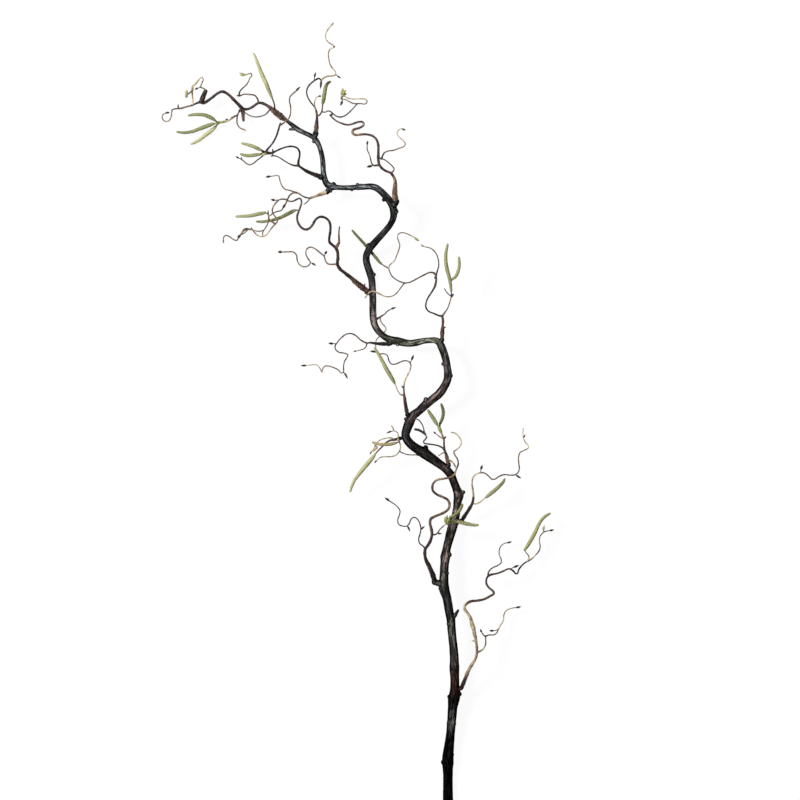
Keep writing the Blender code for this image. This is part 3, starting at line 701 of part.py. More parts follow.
def solid(vertices, faces, name="piece"):
    """One closed body, in metres, with its faces turned out."""
    mesh = bpy.data.meshes.new(name)
    mesh.from_pydata((np.array(vertices) * MM).tolist(), [], faces)
    work = bmesh.new()
    work.from_mesh(mesh)
    bmesh.ops.recalc_face_normals(work, faces=work.faces)
    bmesh.ops.triangulate(work, faces=work.faces)
    work.to_mesh(mesh)
    work.free()
    piece = bpy.data.objects.new(name, mesh)
    bpy.context.scene.collection.objects.link(piece)
    return piece


def lofted(rings, apex=None):
    """A closed body through rings of points, with flat ends or a pointed last end."""
    sides = len(rings[0])
    vertices = np.vstack(rings).tolist()
    faces = [list(range(sides))[::-1]]
    for level in range(len(rings) - 1):
        for corner in range(sides):
            after = (corner + 1) % sides
            low = level * sides
            faces.append([low + corner, low + after, low + sides + after, low + sides + corner])
    top = (len(rings) - 1) * sides
    if apex is None:
        faces.append([top + corner for corner in range(sides)])
    else:
        vertices.append(list(apex))
        faces += [[top + corner, top + (corner + 1) % sides, len(vertices) - 1] for corner in range(sides)]
    return solid(vertices, faces)


def ring_at(centre, frame, radius, sides, turn=0.0):
    """Points of one ring round a centre."""
    angles = turn + 2 * math.pi * np.arange(sides) / sides
    across, up = frame
    return centre + radius * (np.cos(angles)[:, None] * across + np.sin(angles)[:, None] * up)


def twig(points, radii, pointed, first_way=None):
    """A tube along a route; a free end is pointed, a seat is flat."""
    last_way = unit(points[-1] - points[-2])
    kept = crossing_free(choose_rings(points, radii), points, radii, first_way, last_way)
    centres = points[kept]
    widths = radii[kept]
    frames = ring_frames(centres, first_way, last_way)
    sides = side_count(widths.max() * WIDTH_WEIGHT + widths.mean() * (1 - WIDTH_WEIGHT))
    apex = None
    if pointed:
        apex = centres[-1] + last_way * widths[-1]
    rings = [ring_at(c, f, r, sides) for c, f, r in zip(centres, frames, widths)]
    return lofted(rings, apex)


def catkin(points, radii, first_way):
    """A soft tapered tassel whose surface rises and falls with its scales."""
    lengths = np.concatenate(([0.0], np.cumsum(np.linalg.norm(np.diff(points, axis=0), axis=1))))
    count = max(FEWEST_CATKIN_RINGS, round(lengths[-1] / CATKIN_RING_STEP))
    places = np.linspace(0, lengths[-1], count + 1)
    centres = np.column_stack([np.interp(places, lengths, points[:, axis]) for axis in range(3)])
    widths = np.interp(places, lengths, radii)
    frames = ring_frames(centres, first_way)
    rings = []
    for level, (centre, frame, width) in enumerate(zip(centres[:-1], frames, widths)):
        relief = 0 if level == 0 else CATKIN_SCALE_RELIEF
        ring = ring_at(centre, frame, width, CATKIN_SIDES, level * math.pi / CATKIN_SIDES)
        bulge = 1 + relief * np.array([(-1) ** (level + corner) for corner in range(CATKIN_SIDES)])
        rings.append(centre + (ring - centre) * bulge[:, None])
    return lofted(rings, centres[-1])


def spindle(foot, tip, width, neck=0.0):
    """A pointed bud, knot or spur, widest near its middle, on a thin neck where it has one."""
    foot = np.array(foot, float)
    tip = np.array(tip, float)
    way = unit(tip - foot)
    length = np.linalg.norm(tip - foot)
    frame = ring_frames(np.array([foot, tip]))[0]
    radius = width / 2
    levels = [(0.0, radius * BUD_FOOT_WIDTH)]
    if neck:
        levels = [(0.0, BUD_NECK_RADIUS), (neck, BUD_NECK_RADIUS)]
    levels.append((neck + (length - neck) * BUD_WIDEST, radius))
    if length > SHOULDER_LENGTH:
        levels.append((neck + (length - neck) * BUD_SHOULDER, radius * BUD_SHOULDER_WIDTH))
    rings = [ring_at(foot + way * place, frame, wide, BUD_SIDES) for place, wide in levels]
    return lofted(rings, tip)


def union(pieces, name):
    """Fuse overlapping pieces into one body and remove the pieces."""
    if len(pieces) == 1:
        pieces[0].name = name
        pieces[0].data.name = name
        return pieces[0]
    group = bpy.data.collections.new(name + "_pieces")
    bpy.context.scene.collection.children.link(group)
    for piece in pieces[1:]:
        group.objects.link(piece)
    target = pieces[0]
    cut = target.modifiers.new("fuse", "BOOLEAN")
    cut.operation = "UNION"
    cut.operand_type = "COLLECTION"
    cut.collection = group
    cut.solver = "EXACT"
    bpy.context.view_layer.update()
    evaluated = target.evaluated_get(bpy.context.evaluated_depsgraph_get())
    mesh = bpy.data.meshes.new_from_object(evaluated)
    target.modifiers.clear()
    for piece in pieces:
        bpy.data.objects.remove(piece)
    bpy.data.collections.remove(group)
    work = bmesh.new()
    work.from_mesh(mesh)
    bmesh.ops.remove_doubles(work, verts=work.verts, dist=WELD_DISTANCE * MM)
    loose = [edge for edge in work.edges if not edge.link_faces]
    bmesh.ops.delete(work, geom=loose, context="EDGES")
    bmesh.ops.triangulate(work, faces=work.faces)
    bmesh.ops.recalc_face_normals(work, faces=work.faces)
    work.to_mesh(mesh)
    work.free()
    fused = bpy.data.objects.new(name, mesh)
    mesh.name = name
    bpy.context.scene.collection.objects.link(fused)
    return fused


def finish(node, colour, roughness):
    """Give a node its material and smooth shading."""
    material = bpy.data.materials.new(node.name)
    material.use_nodes = True
    shader = material.node_tree.nodes["Principled BSDF"]
    shader.inputs["Base Color"].default_value = (*colour, 1.0)
    shader.inputs["Roughness"].default_value = roughness
    shader.inputs["Metallic"].default_value = 0.0
    node.data.materials.clear()
    node.data.materials.append(material)
    node.data.shade_smooth()


def even_profile(diameters, points):
    """Radii along a route from diameters spread evenly over its length."""
    lengths = np.concatenate(([0.0], np.cumsum(np.linalg.norm(np.diff(points, axis=0), axis=1))))
    return np.interp(lengths / lengths[-1], np.linspace(0, 1, len(diameters)), diameters) / 2


# Roots on one twig are set a hair apart, so that no two faces coincide
ROOT_SHIFT = np.array((0.017, 0.023, 0.011))


def nearest_sample(point, samples):
    """Index of the sample nearest to a point, seen from above."""
    return int(np.linalg.norm(samples[:, :2] - np.array(point[:2]), axis=1).argmin())


def first_clear(points, radii, stem_points, stem_radii):
    """First sample of a spray whose whole rim is clear of the stem."""
    reach = min(len(points) - 2, CLEARANCE_SAMPLES)
    start = 0
    for index in range(reach):
        way = unit(points[index + 1] - points[index])
        frame = ring_frames(np.array([points[index], points[index] + way]))[0]
        rim = ring_at(points[index], frame, radii[index], RIM_SAMPLES)
        apart = np.linalg.norm(rim[:, None] - stem_points[None], axis=2) - stem_radii[None] * STEM_ROOM
        if apart.min() < SEAT_GAP:
            start = index + 1
    return start


def build_runs(runs, stem_points, stem_radii, leads=False):
    """Curves and radii of a spray's runs, each side run set on an earlier one."""
    built = {}
    samples = None
    for label, (diameters, route) in runs.items():
        route = list(route)
        if samples is None and leads:
            way = unit(stem_points[-1] - stem_points[-2])
            seat = stem_points[-1] + way * SEAT_GAP
            route[:1] = [tuple(seat), tuple(seat + way * STRAIGHT_START)]
        if samples is not None:
            at = samples[nearest_sample(route[0], samples)]
            route[0] = tuple(at + ROOT_SHIFT * len(built))
            end = samples[nearest_sample(route[-1], samples)]
            if np.linalg.norm(end[:2] - route[-1][:2]) < JOIN_REACH and len(route[-1]) == 3:
                if abs(end[2] - route[-1][2]) < JOIN_HEIGHT:
                    route[-1] = tuple(end)
        curve, _ = smooth_curve(fill_heights(route))
        radii = even_profile(diameters, curve)
        if samples is None and not leads:
            start = first_clear(curve, radii, stem_points, stem_radii)
            curve = curve[start:]
            radii = radii[start:]
        curve = ease_bends(curve, radii)
        curve[:, 2] = np.maximum(curve[:, 2], radii + FLOOR_ROOM)
        built[label] = (curve, radii)
        samples = curve if samples is None else np.vstack((samples, curve))
    return built, samples


def stem_stub(foot, way, radius, stem_points, stem_radii):
    """The short stub on the stem that a spray's sleeve sits on."""
    inner = foot - way * STUB_REACH
    index = int(np.linalg.norm(stem_points - inner, axis=1).argmin())
    end = foot - way * SEAT_GAP
    back = end - way * STUB_COLLAR_LENGTH
    lack = max(0.0, STUB_COLLAR_LENGTH - (back - stem_points[index]).dot(way))
    root = stem_points[index] - way * lack
    first_radius = min(stem_radii[index] * STUB_ROOT_SHARE, radius * STUB_ROOT_WIDTH)
    frame = ring_frames(np.array([back, end]))[0]
    widths = (first_radius, radius * STUB_COLLAR, radius * STUB_COLLAR)
    sides = side_count(radius * STUB_COLLAR)
    return lofted([ring_at(place, frame, wide, sides) for place, wide in zip((root, back, end), widths)])


def stem_pieces(stem_points, stem_radii):
    """The stem, a little uneven round its section, and its knots and spurs."""
    kept = crossing_free(choose_rings(stem_points, stem_radii), stem_points, stem_radii)
    frames = ring_frames(stem_points[kept])
    corner = np.arange(STEM_SIDES)
    rings = []
    for level, (index, frame) in enumerate(zip(kept, frames)):
        ring = ring_at(stem_points[index], frame, stem_radii[index], STEM_SIDES)
        uneven = 1 + STEM_UNEVENNESS * np.sin(corner * UNEVEN_ROUND + level * UNEVEN_ALONG)
        rings.append(stem_points[index] + (ring - stem_points[index]) * uneven[:, None])
    return [lofted(rings)] + [spindle(*knot) for knot in STEM_KNOTS]


def flatten_underside(node):
    """Cut the stem level with the surface, which leaves the flats that it rests on."""
    work = bmesh.new()
    work.from_mesh(node.data)
    everything = work.verts[:] + work.edges[:] + work.faces[:]
    bmesh.ops.bisect_plane(work, geom=everything, plane_co=(0, 0, 0), plane_no=(0, 0, 1), clear_inner=True)
    rims = [edge for edge in work.edges if edge.is_boundary]
    bmesh.ops.holes_fill(work, edges=rims, sides=0)
    bmesh.ops.triangulate(work, faces=work.faces)
    bmesh.ops.recalc_face_normals(work, faces=work.faces)
    for vert in work.verts:
        if vert.co.z < WELD_DISTANCE * MM:
            vert.co.z = 0.0
    work.to_mesh(node.data)
    work.free()
    return node


def build():
    for old in list(bpy.data.objects):
        bpy.data.objects.remove(old)
    stem_data = np.array(STEM)
    stem_points, places = smooth_curve(stem_data[:, :3])
    stem_radii = np.interp(places, np.arange(len(STEM)), stem_data[:, 3]) / 2
    stem_points = ease_bends(stem_points, stem_radii)
    stem = stem_pieces(stem_points, stem_radii)
    ends = {}
    for name, spray in SPRAYS.items():
        runs, samples = build_runs(spray["runs"], stem_points, stem_radii, name == LEADER)
        seats = {entry[1] for entry in list(CATKINS.values()) + list(LEAF_BUDS.values()) if entry[0] == name}
        pieces = []
        for label, (curve, radii) in runs.items():
            first_way = unit(curve[1] - curve[0])
            pieces.append(twig(curve, radii, label not in seats, first_way))
            ends[name, label] = (curve, radii)
        for place, (x0, y0, x1, y1, width, neck) in enumerate(spray["buds"]):
            foot = samples[nearest_sample((x0, y0), samples)] - ROOT_SHIFT * (place + 1)
            height = foot[2] + BUD_RISE * math.hypot(x1 - foot[0], y1 - foot[1])
            pieces.append(spindle(foot, (x1, y1, height), width, neck))
        curve, radii = runs["main"]
        way = unit(curve[1] - curve[0])
        if name != LEADER:
            stem.append(stem_stub(curve[0], way, radii[0], stem_points, stem_radii))
        tan = name in ("spray_tan_left", "spray_upper_right")
        finish(union(pieces, name), TAN_TWIG_COLOUR if tan else TWIG_COLOUR, WOOD_ROUGHNESS)
    finish(flatten_underside(union(stem, "main_stem")), STEM_COLOUR, WOOD_ROUGHNESS)
    for name, (spray, run, diameters, route) in CATKINS.items():
        curve, _ = ends[spray, run]
        way = unit(curve[-1] - curve[-2])
        seat = curve[-1] + way * SEAT_GAP
        route = [tuple(seat), tuple(seat + way * STRAIGHT_START)] + list(route)
        points, _ = smooth_curve(fill_heights(route))
        radii = even_profile(diameters, points)
        points[:, 2] = np.maximum(points[:, 2], radii * (1 + CATKIN_SCALE_RELIEF) + FLOOR_ROOM)
        pieces = [catkin(points, radii, way)]
        if name in CATKIN_ARMS:
            arm_diameters, arm_route = CATKIN_ARMS[name]
            points, _ = smooth_curve(fill_heights(arm_route))
            pieces.append(catkin(points, even_profile(arm_diameters, points), unit(points[1] - points[0])))
        finish(union(pieces, name), CATKIN_COLOURS.get(name, CATKIN_COLOUR), SOFT_ROUGHNESS)
    for name, (spray, run, scales) in LEAF_BUDS.items():
        curve, _ = ends[spray, run]
        way = unit(curve[-1] - curve[-2])
        seat = curve[-1] + way * SEAT_GAP
        heart = seat + way * LEAF_BUD_STALK
        stalk = np.linspace(seat, heart, STALK_SAMPLES)
        pieces = [twig(stalk, np.full(STALK_SAMPLES, STALK_RADIUS), False, way)]
        pieces += [spindle(heart, scale[:3], scale[3]) for scale in scales]
        finish(union(pieces, name), BUD_COLOUR, SOFT_ROUGHNESS)


build()
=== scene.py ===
"""Contorted hazel branch lying on a pale surface: fine surfaces and materials.

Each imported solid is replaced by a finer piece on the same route. Routes are
written in millimetres, as the solids' are, and become metres in the meshes.
"""

import math

import bpy
import numpy as np
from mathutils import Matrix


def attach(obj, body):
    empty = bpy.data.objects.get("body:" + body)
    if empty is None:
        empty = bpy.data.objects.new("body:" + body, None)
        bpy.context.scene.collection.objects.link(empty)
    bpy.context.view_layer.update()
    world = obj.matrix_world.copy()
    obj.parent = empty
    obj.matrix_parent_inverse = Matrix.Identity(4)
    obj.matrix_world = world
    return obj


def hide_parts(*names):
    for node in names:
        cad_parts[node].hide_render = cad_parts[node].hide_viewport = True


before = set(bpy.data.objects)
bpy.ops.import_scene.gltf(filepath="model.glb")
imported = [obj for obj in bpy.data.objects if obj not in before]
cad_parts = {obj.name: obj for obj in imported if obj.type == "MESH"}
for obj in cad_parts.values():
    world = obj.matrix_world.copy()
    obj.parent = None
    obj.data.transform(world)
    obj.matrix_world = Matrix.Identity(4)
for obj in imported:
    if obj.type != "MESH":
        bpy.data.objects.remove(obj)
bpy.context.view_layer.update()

MM = 0.001

# Fit of the pieces, in millimetres: the same values as the solids have
SEAT_GAP = 0.3
CURVE_STEP = 0.8
BEND_MARGIN = 1.6
EASING_ROUNDS = 80
STUB_REACH = 7.0
STUB_COLLAR = 1.14
STUB_COLLAR_LENGTH = 1.6
STUB_ROOT_SHARE = 0.8
STUB_ROOT_WIDTH = 1.3
STEM_ROOM = 1.06
CLEARANCE_SAMPLES = 24
JOIN_REACH = 1.2
JOIN_HEIGHT = 5.0
FLOOR_ROOM = 0.25
STRAIGHT_START = 1.2
LEAF_BUD_STALK = 3.0
BUD_RISE = 0.25
LEADER = "leader_spray"

# Fineness of the visible surfaces, in millimetres and sides
STEM_RING_STEP = 1.1
STEM_SIDES = 44
TWIG_RING_STEP = 0.75
SLEEVE_SIDES = 20
TWIG_SIDES = 12
CATKIN_RING_STEP = 0.42
CATKIN_SIDES = 30
BUD_LEVELS = 26
BUD_SIDES = 14
KNOT_LEVELS = 22
KNOT_SIDES = 20

# Relief, in millimetres and shares of the radius: thick old bark above SMOOTH_RADIUS has raised bumps
NODE_SWELLING = 0.13
SMOOTH_RADIUS = 1.6
ROUGHNESS = 0.2
SIDE_FLARE = 0.55
SHORTEST_END = 0.6
TWIG_FLOOR = 0.02
LONG_LUMPS = 0.05
FLUTES = 0.035
FINE_BARK = 0.022
FURROWS = 0.075
FLAKES = 0.02
CATKIN_END = 3.2
SCALE_ROWS = 6
SCALE_PITCH = 2.5
SCALE_LOW = 0.93
SCALE_RISE = 0.13
SCALE_GRAIN = 0.02
CATKIN_ROOM = 1.15
BUD_SCALE_RISE = 0.13
NECK_RADIUS = 0.55

# Roots on one twig are set a hair apart, so that no two faces coincide
ROOT_SHIFT = np.array((0.017, 0.023, 0.011))

# Main stem: x, y, z and diameter along its centre line
STEM = [
    (0.3, -28, 5.3, 12.6), (0, -10, 5.2, 12.2), (0, 10, 5.2, 12.4), (-0.4, 24, 5.6, 13.2),
    (-0.5, 31, 6.2, 14.6), (0.2, 41, 7.0, 14.0), (2, 53, 8.3, 12.3), (3.4, 68, 10.2, 11.2),
    (3.9, 78, 11.5, 11.4), (4.2, 81, 11.9, 12.2), (4.4, 84, 12.3, 11.2), (6, 101, 14.6, 11.6),
    (7.4, 111, 16, 14.6), (8.6, 118, 17, 14.6), (8.5, 126, 18.1, 12.4), (8.3, 140, 20, 11.4),
    (8.1, 151, 21.5, 12.2), (8.0, 158, 22.5, 11.0), (7.2, 172, 24.5, 10.9), (5.6, 190, 26.5, 10.6),
    (4.6, 203, 27.5, 10.6), (3.4, 213, 27.9, 11.0), (1.4, 221, 28, 10.8), (-1.6, 238, 27.4, 11.6),
    (-4.6, 249, 26.4, 13.4), (-5.1, 258, 25.3, 11.6), (-4.9, 270, 23.5, 10.4), (-4.2, 281, 21.5, 10.8),
    (-2.8, 291, 19.3, 13.2), (-1.7, 299, 17.5, 10.8), (1, 310, 14.8, 11), (5, 324, 10.4, 12),
    (7.6, 332, 8.0, 11.8), (9.9, 341, 5.6, 10.4), (11, 350, 4.5, 9.8), (11.8, 358, 4.6, 10.6),
    (12.9, 366, 6.2, 12.8), (10.2, 375, 9.5, 10.2), (7.6, 382, 13.5, 10), (5.5, 388, 18, 10.2),
    (1.5, 394.5, 22.5, 11), (-5, 401, 26, 11), (-13, 407, 29, 11.3), (-22, 413.5, 31.5, 12),
    (-30, 419, 33, 13.6), (-38, 423.5, 33.6, 12), (-45.5, 429, 33.2, 11.6), (-51, 435.5, 31.5, 11),
    (-53, 442, 29.3, 10.6), (-51.5, 448.5, 27.2, 11.4), (-48, 458, 24.8, 12.2), (-44.5, 465.5, 23.8, 11.2),
    (-37, 471.5, 23.8, 10.4), (-28, 479.5, 25.3, 11.6), (-20, 485.8, 27.5, 10.4), (-11, 493.5, 30.5, 10.4),
    (-4.5, 502.5, 33, 10), (-0.8, 511, 34.5, 10.2), (-0.2, 518, 35, 10.6), (-1.2, 526, 35, 9.6),
    (-3.2, 537, 34.2, 9.4), (-5.5, 545, 33, 9.6), (-8, 552, 31.2, 9.8), (-10.8, 557.2, 29, 8.8),
    (-16, 560, 27, 7.8), (-23, 560, 25, 7.4), (-31, 559, 22.5, 7.6), (-39, 557, 20, 8.8),
    (-47, 556, 17.5, 8.6), (-55, 557, 15, 9.4), (-63, 559, 12.8, 10.2), (-70, 560.3, 11, 9.8),
    (-76.5, 562.8, 9.4, 8.8), (-83, 567.3, 7.8, 8.4), (-88, 572.5, 6.5, 8.4), (-91.6, 579, 5.2, 8.4),
    (-93.4, 587, 4.3, 8.5), (-94.1, 600, 3.8, 8.6), (-94.1, 612, 3.8, 9), (-94.3, 624, 3.8, 8.8),
    (-95.3, 636, 4.2, 8.9), (-97.3, 643.5, 5, 9.4), (-99.8, 650, 6.5, 9), (-102, 657, 9, 8.8),
    (-102.6, 663.5, 12, 8.8), (-100.8, 670, 15.5, 9), (-96.8, 676, 19, 9.2), (-92, 681.5, 22.5, 8.8),
    (-85.5, 689, 26.5, 8), (-78.5, 697, 30.5, 7.6), (-72.5, 704.5, 34, 7.8), (-68.8, 712, 37, 8.4),
    (-67.8, 720, 39.5, 10), (-69.3, 727.5, 41.3, 9.6), (-73, 734, 42.4, 9), (-78, 740, 43, 8.4),
    (-83.5, 745.8, 42.8, 8.4), (-89.5, 750.2, 42, 8.6), (-96.5, 752, 40.5, 8), (-104, 751.5, 38.5, 7.6),
    (-112.5, 751.2, 36, 8.2), (-115.5, 750.8, 35, 6.6), (-124, 750.4, 32.5, 6.4), (-133, 750.7, 30, 6),
    (-139, 751.3, 28.3, 6.6), (-143.5, 752, 27, 9.2), (-148.5, 752.8, 26, 9.2), (-152.5, 757, 26, 8.2),
    (-155, 764, 27, 7.6), (-156, 772, 28.2, 6.6), (-156.3, 781, 29.5, 6.2), (-157.6, 791, 30.5, 6),
    (-160.2, 800.5, 31, 6.1), (-163.4, 807.5, 30.8, 6.8), (-167, 812.6, 30, 7.2), (-172.5, 816, 28.5, 6.2),
    (-180, 819.5, 26.5, 5.6), (-187.5, 823.3, 24.8, 6.4), (-193.5, 828, 23.4, 5.6),
    (-199, 832.2, 22.3, 4.6), (-202.2, 834.9, 21.9, 4.4),
]

# Knots and broken spurs on the stem: foot, tip and width
STEM_KNOTS = [
    ((-1, 33, 8), (-8.6, 32, 12), 9), ((0, 40, 8), (7.6, 43, 12), 7), ((5, 112, 17), (0.2, 116, 22), 8),
    ((9, 116, 17), (17.4, 119, 19), 8), ((5, 205, 27), (-1.6, 206.5, 31), 7),
    ((6, 212, 28), (13.8, 224.5, 33), 5), ((-3, 249, 27), (-12.4, 250.5, 28), 8),
    ((-4, 271, 23), (1.2, 268, 28), 5), ((-3, 290, 19), (4.6, 293, 23), 8),
    ((-3, 290, 19), (-10, 288, 21), 7), ((12, 366, 6.5), (22, 371.5, 9), 7),
    ((5, 389, 18), (6.5, 396, 22), 9), ((-29, 420, 34), (-27.5, 429.5, 37), 8),
    ((-35, 422, 34), (-39, 415.5, 35), 6), ((-28, 480, 26), (-27.5, 489.5, 28), 7),
    ((-48, 459, 25), (-55.2, 463, 26), 6), ((-0.5, 516, 35), (6.4, 515.5, 36), 7),
    ((-2, 531, 35), (-8.8, 530, 36), 6), ((-62, 559, 13), (-63.5, 552.5, 15), 6),
    ((-95.5, 641, 5), (-90.2, 643.5, 6.5), 6), ((-97, 677, 19), (-101.6, 680.5, 21), 7),
    ((-68, 720, 40), (-61.6, 722, 40), 8), ((-69, 726, 41), (-62.6, 731.5, 42), 6),
    ((-77, 738, 43), (-82.3, 733.5, 43), 6), ((-113, 752, 36), (-113.5, 757, 37), 5),
    ((-120, 750, 34), (-120.5, 746, 34), 5), ((-144, 752, 27), (-142, 758, 28), 7),
    ((-147, 751, 26), (-147.5, 744, 25), 7), ((-66, 731.5, 45), (-61.2, 730.8, 46), 4.4),
    ((-165, 810, 30), (-170, 807.5, 31), 6), ((-190, 824.5, 24.5), (-199.8, 823.4, 24), 4.4),
]

